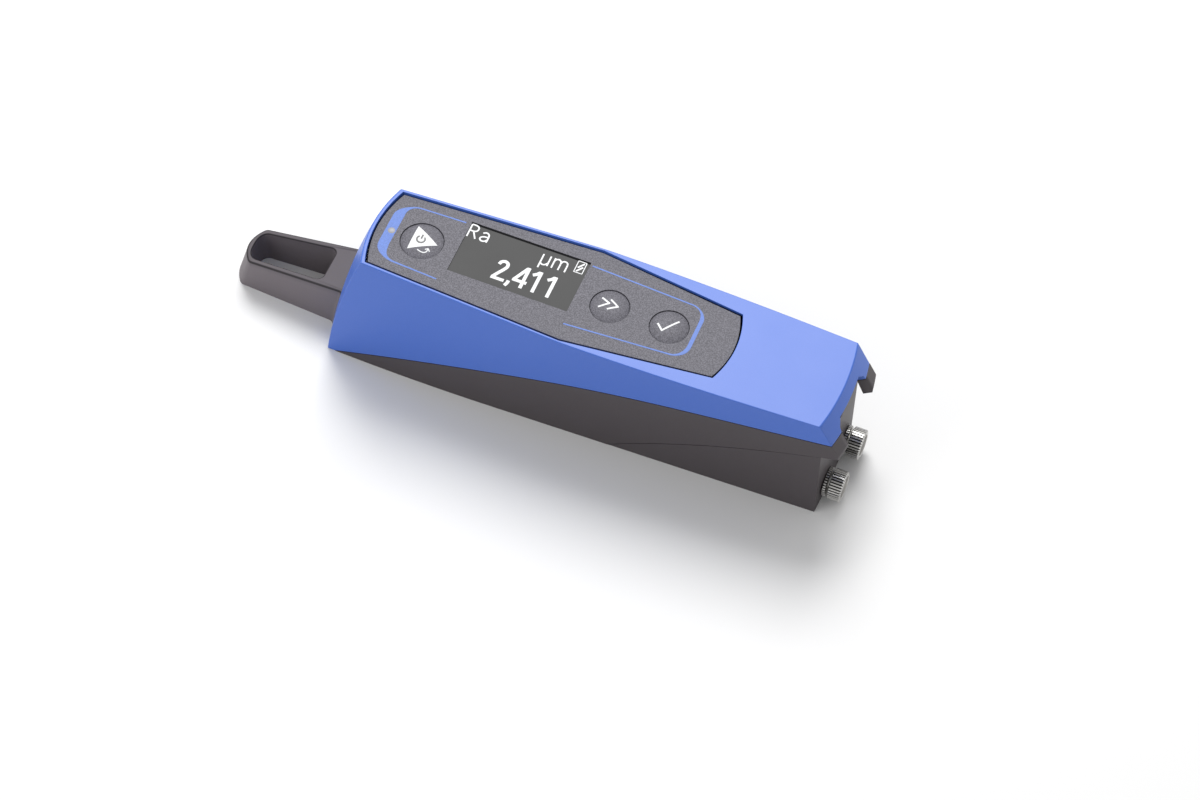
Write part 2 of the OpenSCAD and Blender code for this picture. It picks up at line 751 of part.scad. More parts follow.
// A key: dome, collar that is held under the panel, and stem above its switch
module key(x, r) color(key_grey) in_place() translate([x, 0, 0]) rotate_extrude() polygon(concat(
    [[0, stem_low], [key_stem_r, stem_low],
        [key_stem_r, panel_low - run - key_flange_t], [r + key_flange, panel_low - run - key_flange_t],
        [r + key_flange, panel_low - run], [r, panel_low - run]],
    [for (k = [0:6]) let (t = k / 6) [r * (1 - t), panel_top + key_dome * (1 - pow(1 - t, 2))]]));

module power_key() key(-power_key_x, power_key_r);
module next_key() key(next_key_x, small_key_r);
module enter_key() key(enter_key_x, small_key_r);

// A pan-head screw that points up from the underside of its head
module screw_up(x, y, z, head_r, head, r, l) {
    bar_z(x, y, z - head, z, head_r);
    bar_z(x, y, z - eps, z + l, r);
}

module board_screws() color(steel) in_place() for (p = bs_places)
    screw_up(p[0], p[1], board_top - board_t, bs_head_r, bs_head, bs_r, board_t + bs_bite - clear);

module housing_screws() color(steel) in_place() both_sides() {
    screw_up(post_x, post_y, sink, hs_head_r, hs_head, hs_r, post_split - sink + hs_bite - clear);
    screw_up(lug_x, lug_y, lug_low, hs_head_r, hs_head, hs_r, lug_t + hs_bite - clear);
}

module battery() color([0.25, 0.35, 0.45]) in_place() {
    rear = bulk_front - 2 * clear;
    low = floor_t + slip;
    corner = 2;
    translate([rear - battery_l, 0, low]) rotate([90, 0, 90]) linear_extrude(battery_l)
        polygon([for (c = [[1, 1, 0], [-1, 1, 90], [-1, -1, 180], [1, -1, 270]]) for (k = [0:4])
            let (a = c[2] + 22.5 * k)
            [c[0] * (battery_w / 2 - corner) + corner * cos(a),
                battery_h / 2 + c[1] * (battery_h / 2 - corner) + corner * sin(a)]]);
}

// Drive frame: base plate with two end plates
ns_y = 4.6;
ns_z = 15;
ns_r = 0.8;
ns_head_r = 1.5;
ns_head = 1.2;
module drive_frame() color(aluminium) in_place() difference() {
    union() {
        block(flange_rear, frame_rear, frame_w, floor_t, floor_t + frame_base_t);
        block(flange_rear, flange_rear + plate_t, frame_w, floor_t, frame_h);
        block(frame_rear - plate_t, frame_rear, frame_w, floor_t, frame_h);
    }
    bar_x(flange_rear - 1, flange_rear + plate_t + 1, 0, pick_z, channel_r);
    bar_x(flange_rear - 1, flange_rear + plate_t + 1, 0, screw_z, bush_r + snug);
    bar_x(frame_rear - plate_t - 1, frame_rear + 1, 0, screw_z, motor_shaft_r + 2 * clear);
    both_sides() {
        bar_x(flange_rear - 1, frame_rear + 1, rod_gap / 2, rod_z, rod_r + snug);
        bar_x(flange_rear - 1, flange_rear + plate_t + 1, ns_y, ns_z, ns_r + pass);
    }
}

module guide_rods() color(steel) in_place() both_sides()
    bar_x(flange_rear, frame_rear, rod_gap / 2, rod_z, rod_r);

module screw_bearing() color(brass) in_place() difference() {
    bar_x(flange_rear, flange_rear + plate_t, 0, screw_z, bush_r);
    bar_x(flange_rear - 1, flange_rear + plate_t + 1, 0, screw_z, screw_r + run);
}

screw_grip = 3;
shaft_gap = 0.5;
screw_rear = coupling_front + screw_grip;
module lead_screw() color(steel) in_place()
    bar_x(flange_rear + clear, screw_rear, 0, screw_z, screw_r);

module shaft_coupling() color(brass) in_place() difference() {
    bar_x(coupling_front, coupling_rear, 0, screw_z, coupling_r);
    bar_x(coupling_front - 1, screw_rear + pass, 0, screw_z, screw_r + snug);
    bar_x(screw_rear + shaft_gap - pass, coupling_rear + 1, 0, screw_z, motor_shaft_r + snug);
}

motor_shaft_in = 4;
module motor_shaft() color(steel) in_place()
    bar_x(screw_rear + shaft_gap, frame_rear + motor_shaft_in, 0, screw_z, motor_shaft_r);

gearbox_l = 9;
motor_step = 0.4;
motor_boss = 1.5;
motor_boss_r = 1.6;
motor_rear = frame_rear + motor_l;
module gear_motor() color(steel * 0.9) in_place() difference() {
    union() {
        bar_x(frame_rear, frame_rear + gearbox_l, 0, screw_z, gearbox_r);
        bar_x(frame_rear + gearbox_l - eps, motor_rear - motor_boss, 0, screw_z, gearbox_r - motor_step);
        bar_x(motor_rear - motor_boss - eps, motor_rear, 0, screw_z, motor_boss_r);
    }
    bar_x(frame_rear - 1, frame_rear + motor_shaft_in + clear, 0, screw_z, motor_shaft_r + run);
}

// Carriage on the guide rods, with the nut above and the pick-up's socket below
carriage_low = floor_t + frame_base_t + clear;
carriage_top = screw_z + nut_r + 0.6;
module carriage() color(aluminium * 0.85) in_place() difference() {
    block(carriage_front, carriage_rear, frame_w - 2 * clear, carriage_low, carriage_top);
    both_sides() bar_x(carriage_front - 1, carriage_rear + 1, rod_gap / 2, rod_z, rod_r + run);
    bar_x(carriage_front - 1, carriage_rear + 1, 0, screw_z, nut_r + snug);
    bar_x(carriage_front - 1, carriage_front + socket_d + pass, 0, pick_z, pick_r + snug);
}

module lead_nut() color(brass) in_place() difference() {
    bar_x(carriage_front, carriage_rear, 0, screw_z, nut_r);
    bar_x(carriage_front - 1, carriage_rear + 1, 0, screw_z, screw_r + run);
}

// Pick-up: tube with a hollow front, a skid under its tip and a slit for the stylus
skid_r = 0.9;
skid_l = 1.2;
skid_w = 1.6;
slit_l = 1.8;
slit_w = 1.6;
bore_ends = [1.6, 3];   // how far the hollow runs past the stylus and past the pivot
module pick_up() color(steel * 0.95) in_place() difference() {
    union() {
        bar_x(tip_rest, carriage_front + socket_d, 0, pick_z, pick_r);
        block(skid_x - skid_l / 2, skid_x + skid_l / 2, skid_w, skid_clear + skid_r, pick_z);
        bar_y(skid_x, skid_clear + skid_r, skid_w, skid_r);
    }
    bar_x(stylus_x - bore_ends[0], pivot_x + bore_ends[1], 0, pick_z, bore_r);
    block(stylus_x - slit_l / 2, stylus_x + slit_l / 2, slit_w, 0, pick_z);
    bar_y(pivot_x, pick_z, far, pin_r + snug);
}

module stylus_pin() color(steel) in_place() bar_y(pivot_x, pick_z, 2 * (pick_r - pass), pin_r);

stylus_r = 0.4;
cone_r = 0.05;
cone_h = 1.2;
eye_t = 1.4;
module stylus_arm() color(brass) in_place() {
    difference() {
        union() {
            bar_y(pivot_x, pick_z, eye_t, eye_r);
            bar_x(stylus_x, pivot_x - pin_r - clear, 0, pick_z, arm_r);
            translate([stylus_x, 0, pick_z]) sphere(r = arm_r + run);
            bar_z(stylus_x, 0, tip_clear + cone_h, pick_z, stylus_r);
            translate([stylus_x, 0, tip_clear]) cylinder(h = cone_h + eps, r1 = cone_r, r2 = stylus_r);
        }
        bar_y(pivot_x, pick_z, 2 * eye_t, pin_r + run);
    }
}

module nose_screws() color(steel) in_place() both_sides() {
    bar_x(flange_rear + plate_t, flange_rear + plate_t + ns_head, ns_y, ns_z, ns_head_r);
    bar_x(root_x + slip, flange_rear + plate_t + eps, ns_y, ns_z, ns_r);
}

// Thumb screws, their inserts in the bulkhead and their lock rings
insert_r = 2.2;
insert_l = bulkhead_t + 0.8;
end_dish = 0.5;
end_rim = 1.1;
module threaded_inserts() color(brass) in_place() both_sides() difference() {
    bar_x(bulk_front, bulk_front + insert_l, thumb_gap / 2, thumb_z, insert_r);
    bar_x(bulk_front - 1, bulk_front + insert_l + 1, thumb_gap / 2, thumb_z, shank_r + run);
}

// A straight-knurled disc along X
module knurled(x0, x1, y, r) {
    depth = 0.25;
    translate([x0, y, thumb_z]) rotate([90, 0, 90]) linear_extrude(x1 - x0)
        polygon([for (k = [0:2 * knurl_teeth - 1]) let (a = 180 * k / knurl_teeth)
            (k % 2 == 0 ? r : r - depth) * [cos(a), sin(a)]]);
}

module lock_rings() color(steel * 0.85) in_place() both_sides() difference() {
    knurled(ring_x, ring_x + ring_t, thumb_gap / 2, thumb_r - slip);
    bar_x(ring_x - 1, ring_x + ring_t + 1, thumb_gap / 2, thumb_z, shank_r + run);
}

module thumb_screw(y) color(steel) in_place() {
    difference() {
        knurled(head_x, thumb_end, y, thumb_r);
        bar_x(thumb_end - end_dish, thumb_end + 1, y, thumb_z, thumb_r - end_rim);
    }
    bar_x(bulk_front - slip, head_x + eps, y, thumb_z, shank_r);
}

module thumb_screw_near() thumb_screw(-thumb_gap / 2);
module thumb_screw_far() thumb_screw(thumb_gap / 2);

upper_shell();
lower_shell();
base_cover();
nose_guard();
panel_overlay();
display_window();
oled_module();
display_frame();
main_board();
key_switches();
status_led();
light_pipe();
usb_socket();
power_key();
next_key();
enter_key();
board_screws();
battery();
drive_frame();
guide_rods();
screw_bearing();
lead_screw();
shaft_coupling();
motor_shaft();
gear_motor();
carriage();
lead_nut();
pick_up();
stylus_pin();
stylus_arm();
nose_screws();
housing_screws();
threaded_inserts();
lock_rings();
thumb_screw_near();
thumb_screw_far();
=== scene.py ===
"""Looks of a hand-held surface roughness tester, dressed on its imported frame."""

import json
import math

import bmesh
import bpy
from mathutils import Matrix, Vector


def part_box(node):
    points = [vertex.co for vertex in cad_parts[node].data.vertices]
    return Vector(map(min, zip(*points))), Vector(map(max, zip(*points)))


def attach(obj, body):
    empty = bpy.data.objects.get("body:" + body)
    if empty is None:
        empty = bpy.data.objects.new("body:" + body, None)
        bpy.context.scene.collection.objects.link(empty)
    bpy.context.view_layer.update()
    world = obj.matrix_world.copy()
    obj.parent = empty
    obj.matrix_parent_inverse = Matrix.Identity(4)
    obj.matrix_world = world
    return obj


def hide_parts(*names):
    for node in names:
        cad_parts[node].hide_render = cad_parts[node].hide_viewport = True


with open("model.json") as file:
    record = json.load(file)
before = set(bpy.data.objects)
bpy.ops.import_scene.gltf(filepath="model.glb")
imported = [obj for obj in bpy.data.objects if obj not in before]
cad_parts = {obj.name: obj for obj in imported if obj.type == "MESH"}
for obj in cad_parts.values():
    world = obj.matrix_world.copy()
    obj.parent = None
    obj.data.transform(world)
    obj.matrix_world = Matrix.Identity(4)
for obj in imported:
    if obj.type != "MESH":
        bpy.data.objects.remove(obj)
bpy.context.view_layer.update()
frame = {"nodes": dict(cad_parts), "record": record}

bl_info = {
    "name": "Surface roughness tester",
    "version": (1, 0, 0),
    "blender": (4, 5, 0),
    "location": "View3D > Sidebar > Tester",
    "description": "Dresses the packed frame of a hand-held surface roughness tester",
    "category": "Object",
}

MM = 0.001


def node_middle(name):
    """Middle of a frame node's box."""
    low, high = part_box(name)
    return (low + high) / 2


# The display's centre is the zero of every length along X below
DISPLAY_X = node_middle("display_window").x
TOP_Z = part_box("upper_shell")[1].z
PANEL_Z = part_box("panel_overlay")[1].z
WINDOW_Z = PANEL_Z - 0.16 * MM


def length(millimetres, description):
    """A length property, given in millimetres and held in metres."""
    return bpy.props.FloatProperty(
        description=description, default=millimetres * MM, unit="LENGTH", precision=5)


def factor(value, description):
    """A plain number between nought and a few."""
    return bpy.props.FloatProperty(description=description, default=value, subtype="FACTOR", max=20)


def colour(value, description):
    """A colour property in linear values."""
    return bpy.props.FloatVectorProperty(
        description=description, default=value, subtype="COLOR", size=3, min=0, max=1)


class HousingSizes(bpy.types.PropertyGroup):
    """Sizes of the moulded housing."""

    front_len: length(33.3, "From the display's centre to the front corners of the top")
    rear_len: length(78.3, "From the display's centre to the rear corners of the top")
    front_w: length(22.9, "Width across the front corners of the top")
    waist_w: length(28.3, "Width of the top at its widest line")
    waist_x: length(16.2, "From the display's centre back to the widest line of the top")
    rear_w: length(24.7, "Width across the rear corners of the top")
    foot_w: length(28.8, "Width across the front corners of the foot")
    foot_waist_w: length(29.99, "Width of the foot at its widest line")
    foot_waist_x: length(17, "From the display's centre forward to the foot's widest line")
    rear_foot_w: length(24.4, "Width across the rear corners of the foot")
    front_lean: length(8, "How far the foot stands ahead of the top")
    front_bulge: length(1.1, "Swell of the front face between top and foot")
    front_arc: length(2, "Bow of the front face across its width")
    rear_arc: length(1.3, "Bow of the rear face across its width")
    side_bow: length(0.45, "Bow of the sides behind the widest line")
    soft_top: length(3, "Half-length of the softened widest line at the top")
    soft_foot: length(16, "Half-length of the softened widest line at the foot")
    lip_len: length(5.1, "How far the rear lip overhangs the top")
    lip_h: length(9.5, "Height of the sloping rear face")
    wall: length(1.8, "Thickness of the side walls")
    seam: length(0.09, "Half of the gap at a parting line")
    seam_start: length(39.5, "From the display's centre forward to the seam's front end")
    skirt_h: length(5.9, "Depth of the blue skirt at the rear lip")
    cover_gap: length(0.15, "Half of the gap around the base cover")
    cover_start: length(29, "From the display's centre back to the base cover")
    cover_drop: length(10.6, "Depth of the base cover's edge at the rear lip")
    cover_setback: length(4, "How far the base cover's rear face stands ahead of the lip")
    cover_arc: length(0.3, "Bow of the base cover's rear face")
    notch_w: length(15.4, "Width of the notch in the rear lip")
    notch_drop: length(3.2, "Depth of the notch's upper edge below the top")
    notch_corner: length(1.8, "Chamfer of the notch's upper corners")
    nose_hole_w: length(14.36, "Width of the opening that the nose comes out of")
    nose_hole_h: length(12.55, "Height of the opening that the nose comes out of")
    edge: length(0.5, "Rounding of the housing's rim and corners")


class PanelSizes(bpy.types.PropertyGroup):
    """Sizes of the control panel."""

    front_len: length(32.3, "From the display's centre to the panel's front corners")
    front_w: length(21.24, "Width across the panel's front corners")
    waist_w: length(26.72, "Width of the panel at its widest line")
    rear_len: length(51.4, "From the display's centre to the panel's rear corners")
    rear_w: length(18.5, "Width across the panel's rear corners")
    rear_arc: length(1.9, "Bow of the panel's rear end")
    groove: length(0.2, "Half of the gap between the panel and the housing's rim")
    near_gap: length(0.36, "Extra gap along the panel's near edge")
    view_l: length(29.4, "Length of the display's visible area")
    view_w: length(14.7, "Width of the display's visible area")
    # Painted shade: the black strip on the window's edges stands in for the shaded far wall of the
    # display's recess
    gasket: length(0.22, "Thickness of the black gasket around the display")
    key_gap: length(0.12, "Gap around a key")
    key_dome: length(0.42, "Height of a key's dome")
    key_sink: length(0.22, "Depth of the ring around a key's dome")
    power_key_r: length(5, "Radius of the power key")
    small_key_r: length(4.5, "Radius of the next and enter keys")
    print_t: length(0.03, "Height of the print above its ground")
    line_w: length(0.34, "Width of the thin printed lines")


class NoseSizes(bpy.types.PropertyGroup):
    """Sizes of the nose guard."""

    root_w: length(13.06, "Width of the nose's top at the housing")
    tip_w: length(10.4, "Width of the nose's top across its front corners")
    draft: length(0.5, "How far each side widens towards the foot")
    lean: length(2.4, "How far the foot of the tip stands ahead of its top")
    arc: length(2.3, "Bow of the front end")
    root_h: length(12.4, "Height of the nose at the housing")
    tip_h: length(9.5, "Height of the nose at its front corners")
    root_back: length(3.4, "From the housing's front foot corners back to the nose's root")
    buried: length(4.6, "Length of the nose that keeps its full width")
    fillet: length(1.5, "Radius of the fillet where the nose meets the housing")
    rim: length(1.3, "Wall between the slot and the tip")
    slot_l: length(19.5, "Length of the slot")
    slot_w: length(9.4, "Width of the slot at its rear end")
    slot_tip_w: length(7.9, "Width of the slot at its round end")
    slot_end: length(2.9, "Length of the slot's round end")
    slot_corner: length(1.6, "Rounding of the slot's rear corners")
    channel_r: length(3.3, "Radius of the channel that the pick-up runs in")
    edge: length(0.48, "Rounding of the nose's top edge")


class WheelSizes(bpy.types.PropertyGroup):
    """Sizes of the knurled thumb screws."""

    tooth: length(0.4, "Depth of the straight knurl")
    chamfer: length(0.25, "Chamfer on the knurled edges")
    dish: length(0.5, "Depth of the recess in the end face")
    dish_rim: length(1.0, "Width of the rim around the recess")
    teeth: bpy.props.IntProperty(name="Teeth", description="Teeth of the knurl", default=34, min=12, max=60)


class FinishColours(bpy.types.PropertyGroup):
    """Colours of the finishes."""

    blue: colour((0.063, 0.155, 0.58), "Moulded blue plastic")
    dark: colour((0.062, 0.052, 0.058), "Moulded dark plastic")
    nose: colour((0.174, 0.154, 0.168), "Grey satin plastic of the nose guard")
    # Painted shade for the nose guard: a dark reflection painted on its rounded edges and shade painted on
    # its top
    nose_edge: colour((0.03, 0.027, 0.03), "Darker tone on the nose guard's rounded edges")
    panel: colour((0.070, 0.068, 0.084), "Grey film of the control panel")
    speck: colour((0.170, 0.165, 0.195), "Lighter specks in the panel's film")
    screen: colour((0.072, 0.072, 0.072), "Display surface")
    print_blue: colour((0.076, 0.161, 0.50), "Printed lines on the panel")
    print_speck: colour((0.095, 0.20125, 0.625), "Lighter specks in the blue print")
    white: colour((0.78, 0.79, 0.80), "Lit characters and key symbols")
    metal: colour((0.66, 0.65, 0.63), "Plated thumb screws")
    steel: colour((0.52, 0.52, 0.53), "Ground steel parts")
    brass: colour((0.70, 0.50, 0.20), "Turned brass parts")
    aluminium: colour((0.58, 0.59, 0.60), "Milled aluminium parts")
    board: colour((0.02, 0.11, 0.05), "Circuit board")
    # Also the shade painted into the knurl's grooves, and the black strip that paints the shade of the
    # display recess's far wall
    black: colour((0.012, 0.012, 0.013), "Black gasket and switches")
    inner: colour((0.30, 0.31, 0.33), "Pale plastic inside the housing")
    light: colour((0.30, 0.30, 0.33), "Frosted status light")
    floor: colour((0.86, 0.86, 0.86), "Studio floor")


class StageSettings(bpy.types.PropertyGroup):
    """Camera and lights."""

    lens: bpy.props.FloatProperty(name="Lens", description="Focal length in millimetres", default=120)
    camera: bpy.props.FloatVectorProperty(
        name="Camera", description="Place of the camera from the display",
        default=(0.202145, -0.4923, 0.7686),
        size=3, subtype="TRANSLATION", unit="LENGTH")
    ambient: factor(0.52, "Strength of the even light")
    key_light: factor(11.0, "Brightness of the overhead softbox")
    fill_light: factor(1.8, "Brightness of the front softbox")


def mix(a, b, share):
    """Value between a and b."""
    return a + (b - a) * share


def steps(count):
    """Shares from 0 to 1 in equal steps."""
    return [k / count for k in range(count + 1)]


def bezier(points, share):
    """Point on a cubic curve."""
    rest = 1 - share
    weights = (rest ** 3, 3 * share * rest ** 2, 3 * share ** 2 * rest, share ** 3)
    return sum((w * p for w, p in zip(weights, points)), Vector((0, 0)))


# Rounds of the searches for a place on a parting curve and for its crossing with a line
HALVINGS = 40
CROSSING_TRIES = 30


def curve_height(points, x):
    """Height of a parting curve above a place along X."""
    if x <= points[0].x:
        return points[0].y
    if x >= points[3].x:
        slope = (points[3].y - points[2].y) / (points[3].x - points[2].x)
        return points[3].y + slope * (x - points[3].x)
    low, high = 0.0, 1.0
    for _ in range(HALVINGS):
        middle = (low + high) / 2
        if bezier(points, middle).x < x:
            low = middle
        else:
            high = middle
    return bezier(points, low).y


def parting_curve(start, end, front_pull, front_rise, rear_pull, rear_rise):
    """Control points of a parting curve in the side view."""
    leave = start + front_pull * Vector((1, front_rise))
    arrive = end - rear_pull * Vector((1, rear_rise))
    return [start, leave, arrive, end]


def crossing(line, curve, offset):
    """Height at which an upright line crosses a parting curve that is moved up by an offset."""
    z = 0.0
    for _ in range(CROSSING_TRIES):
        z = max(0.0, curve_height(curve, line(z).x) + offset)
    return z


# Pull and rise of the parting curves at their front ends, then at their rear ends
SEAM_PULLS = (55 * MM, 0.37, 52 * MM, 0.11)
COVER_PULLS = (14 * MM, 0.65, 22 * MM, 0.27)


class HousingForm:
    """The moulded form: its outline at any height and its parting curves."""

    def __init__(self, sizes):
        self.size = sizes
        lip = sizes.rear_len + sizes.lip_len
        self.cover_x = lip - sizes.cover_setback
        self.foot_start = -sizes.front_len - sizes.front_lean
        self.foot_span = lip - self.foot_start
        self.seam = parting_curve(
            Vector((-sizes.seam_start, 0)), Vector((lip, TOP_Z - sizes.skirt_h)), *SEAM_PULLS)
        self.cover = parting_curve(
            Vector((sizes.cover_start, 0)), Vector((lip, TOP_Z - sizes.cover_drop)), *COVER_PULLS)

    def foot_share(self, x):
        """Place along the foot as a share of its length."""
        return (x - self.foot_start) / self.foot_span

    def drop(self, z):
        return 1 - z / TOP_Z

    def front_x(self, z):
        s, d = self.size, self.drop(z)
        return -s.front_len - s.front_lean * d - 4 * s.front_bulge * d * (1 - d)

    def front_half(self, z):
        return mix(self.size.front_w, self.size.foot_w, self.drop(z)) / 2

    def rear_half(self, z):
        return mix(self.size.rear_w, self.size.rear_foot_w, self.drop(z)) / 2

    def lip_x(self, z):
        s = self.size
        return s.rear_len + s.lip_len * min(1, (TOP_Z - z) / s.lip_h)

    def bow(self, z, share):
        return 4 * self.size.side_bow * (1 - self.drop(z)) * share * (1 - share)

    def side_half(self, x, z, rear_x):
        """Half-width of the housing, with the soft line where the side faces meet."""
        s, d = self.size, self.drop(z)
        front = Vector((self.front_x(z), self.front_half(z)))
        waist = Vector((mix(s.waist_x, -s.foot_waist_x, d), mix(s.waist_w, s.foot_waist_w, d) / 2))
        rear = Vector((rear_x, self.rear_half(z)))
        soft = mix(s.soft_top, s.soft_foot, d)
        start = waist + (front - waist) * soft / (front - waist).length
        share = soft / (rear.x - waist.x)
        end = mix(waist, rear, share) + Vector((0, self.bow(z, share)))
        if x <= start.x:
            return mix(front.y, waist.y, (x - front.x) / (waist.x - front.x))
        if x >= end.x:
            share = min(1, (x - waist.x) / (rear.x - waist.x))
            return mix(waist.y, rear.y, share) + self.bow(z, share)
        t = (x - start.x) / (end.x - start.x)
        return mix(mix(start.y, waist.y, t), mix(waist.y, end.y, t), t)

    def front_point(self, y, z):
        half = self.front_half(z)
        return Vector((self.front_x(z) - self.size.front_arc * (1 - (y / half) ** 2), y, z))

    def rear_point(self, y, z, rear_x, arc):
        half = self.rear_half(z)
        return Vector((rear_x + arc * (1 - (y / half) ** 2), y, z))


class Column:
    """One upright line of the housing's skin, and the same line drawn in by the wall."""

    def __init__(self, form, kind, place):
        self.form = form
        self.kind = kind
        self.place = place

    def span(self, half, fixed):
        """Half-width place: fixed up to a set width, then a share of what is left."""
        if self.place <= fixed:
            return self.place
        return mix(fixed, half, (self.place - fixed) / (1 - fixed))

    def outer(self, z):
        form = self.form
        rear_x = form.lip_x(z)
        if self.kind == "front":
            return form.front_point(self.span(form.front_half(z), self.fixed), z)
        if self.kind == "rear":
            return form.rear_point(self.span(form.rear_half(z), self.fixed), z, rear_x, form.size.rear_arc)
        x = mix(form.front_x(z), rear_x, self.place)
        return Vector((x, form.side_half(x, z, rear_x), z))

    @property
    def fixed(self):
        size = self.form.size
        return (size.nose_hole_w if self.kind == "front" else size.notch_w) / 2 + STEP

    def inner(self, z):
        form, wall = self.form, self.form.size.wall
        point = self.outer(z)
        low, high = form.front_x(z) + wall, form.lip_x(z) - wall
        if self.kind == "front":
            half = form.front_half(z)
            return Vector((point.x + wall, point.y * (half - wall) / half, z))
        if self.kind == "rear":
            half = form.rear_half(z)
            return Vector((point.x - wall, point.y * (half - wall) / half, z))
        return Vector((min(max(point.x, low), high), point.y - wall, z))

    def meet(self, curve, offset):
        """Height at which the line crosses a parting curve."""
        return crossing(self.outer, curve, offset)


# Half-width of the upright side of a notch
STEP = 0.15 * MM
# Points closer than this are one point, in a sketch and in a rounded or cut mesh
SAME = 0.0001 * MM
TOUCH = 0.0005 * MM
# Sections around the housing and its base cover, and rows of points up their walls
FRONT_STEPS = 6
REAR_STEPS = 4
SIDE_STEPS = 44
COVER_STEPS = 24
COVER_REAR_STEPS = 8
WALL_ROWS = 14
BAND_ROWS = 10
# Shares of the rounding: feet, seams, the rim, its inner edge and the upright corners
FOOT_ROUND = 0.5
SEAM_ROUND = 0.4
RIM_ROUND = 1.0
INNER_ROUND = 0.35
CORNER_ROUND = 0.9
COVER_CORNER_ROUND = 0.7
# Angles in radians above which an edge stays sharp: turned keys, the nose and knurled wheels
KEY_CREASE = 0.7
NOSE_CREASE = 0.6
WHEEL_CREASE = 0.5


def placed(point):
    """A point measured from the display's centre, in the frame."""
    return Vector((point.x + DISPLAY_X, point.y, point.z))


def add_piece(mesh, body, slot, *nodes):
    """Links a mesh as a piece that bears its name, rides on a body and stands for nodes."""
    piece = bpy.data.objects.new(mesh.name, mesh)
    bpy.context.scene.collection.objects.link(piece)
    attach(piece, body)
    if nodes:
        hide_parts(*nodes)
    piece.data.materials.clear()
    piece.data.materials.append(finish(slot))
    return piece


def smooth(mesh, angle):
    """Shades a mesh smoothly, with edges over an angle left sharp."""
    mesh.shade_smooth()
    mesh.set_sharp_from_angle(angle=angle)


def finished(work, name):
    """A mesh of the work, with its normals turned outwards."""
    bmesh.ops.recalc_face_normals(work, faces=work.faces)
    mesh = bpy.data.meshes.new(name)
    work.to_mesh(mesh)
    work.free()
    return mesh


def even_weights(work, weight):
    """Gives edges that lie on each other the same weight, so that merging them keeps it."""
    places = [frozenset(tuple(v.co) for v in edge.verts) for edge in work.edges]
    heaviest = {}
    for place, edge in zip(places, work.edges):
        heaviest[place] = max(heaviest.get(place, 0), edge[weight])
    for place, edge in zip(places, work.edges):
        edge[weight] = heaviest[place]


def add_mirrored(work):
    """Opens a half along its middle plane and joins its mirror image to it."""
    flat = [f for f in work.faces if all(abs(v.co.y) < SAME for v in f.verts)]
    bmesh.ops.delete(work, geom=flat, context="FACES_ONLY")
    copy = bmesh.ops.duplicate(work, geom=work.verts[:] + work.edges[:] + work.faces[:])
    moved = [v for v in copy["geom"] if isinstance(v, bmesh.types.BMVert)]
    bmesh.ops.scale(work, vec=(1, -1, 1), verts=moved)
    bmesh.ops.remove_doubles(work, verts=work.verts, dist=SAME)


def loft(name, sections, ring_weights, line_weights=None, closed=False, mirror=False, tones=()):
    """A closed skin through a row of closed sections, with weights for the edges to be rounded."""
    work = bmesh.new()
    weight = work.edges.layers.float.new("bevel_weight_edge")
    # Share of painted shade at each point, which a material may blend in (the nose's painted dark
    # reflection and painted shade)
    tone = work.verts.layers.float.new("tone")
    rows = [[work.verts.new(p) for p in section] for section in sections]
    count = len(rows[0])
    for row in rows:
        for vert, value in zip(row, tones):
            vert[tone] = value
    pairs = list(zip(rows, rows[1:])) + ([(rows[-1], rows[0])] if closed else [])
    for a, b in pairs:
        for k in range(count):
            n = (k + 1) % count
            work.faces.new((a[k], a[n], b[n], b[k]))
    if not closed:
        work.faces.new(rows[0])
        work.faces.new(list(reversed(rows[-1])))
    for a, b in pairs:
        for k, value in ring_weights.items():
            work.edges.get((a[k], b[k]))[weight] = value
    for row, (first, last, value) in (line_weights or {}).items():
        for k in range(first, last):
            work.edges.get((rows[row][k], rows[row][k + 1]))[weight] = value
    even_weights(work, weight)
    bmesh.ops.remove_doubles(work, verts=work.verts, dist=SAME)
    bmesh.ops.dissolve_degenerate(work, edges=work.edges, dist=SAME)
    if mirror:
        add_mirrored(work)
    mesh = finished(work, name)
    mesh.shade_smooth()
    return mesh


def round_edges(piece, width, segments=3):
    """Rounds the weighted edges of a piece and evens its shading."""
    bevel = piece.modifiers.new("Rounded edges", "BEVEL")
    bevel.width = width
    bevel.segments = segments
    bevel.limit_method = "WEIGHT"
    bevel.use_clamp_overlap = True
    weld = piece.modifiers.new("Merged corners", "WELD")
    weld.merge_threshold = TOUCH
    even = piece.modifiers.new("Even shading", "WEIGHTED_NORMAL")
    even.weight = 80
    even.keep_sharp = False


def housing_columns(form):
    """Columns of half the housing from the middle of its front to the middle of its rear."""
    size = form.size
    hole = size.nose_hole_w / 2
    notch = size.notch_w / 2
    front = [hole * k for k in (0, 0.35, 0.7)] + [hole - STEP, hole + STEP]
    columns = [Column(form, "front", y) for y in front]
    columns += [Column(form, "front", mix(columns[0].fixed, 1, k)) for k in steps(FRONT_STEPS)[1:-1]]
    first = len(columns)
    waist = (size.waist_x + size.front_len) / (size.front_len + size.rear_len)
    shares = sorted({form.foot_share(-size.seam_start), waist, *steps(SIDE_STEPS)})
    columns += [Column(form, "side", s) for s in shares]
    last = len(columns) - 1
    rear = [Column(form, "rear", 0)]
    fixed = rear[0].fixed
    columns += [Column(form, "rear", mix(1, fixed, k)) for k in steps(REAR_STEPS)[1:-1]]
    places = [notch + STEP, notch - STEP, notch - size.notch_corner, notch / 2, notch / 4, 0]
    columns += [Column(form, "rear", y) for y in places]
    return columns, first, last, waist


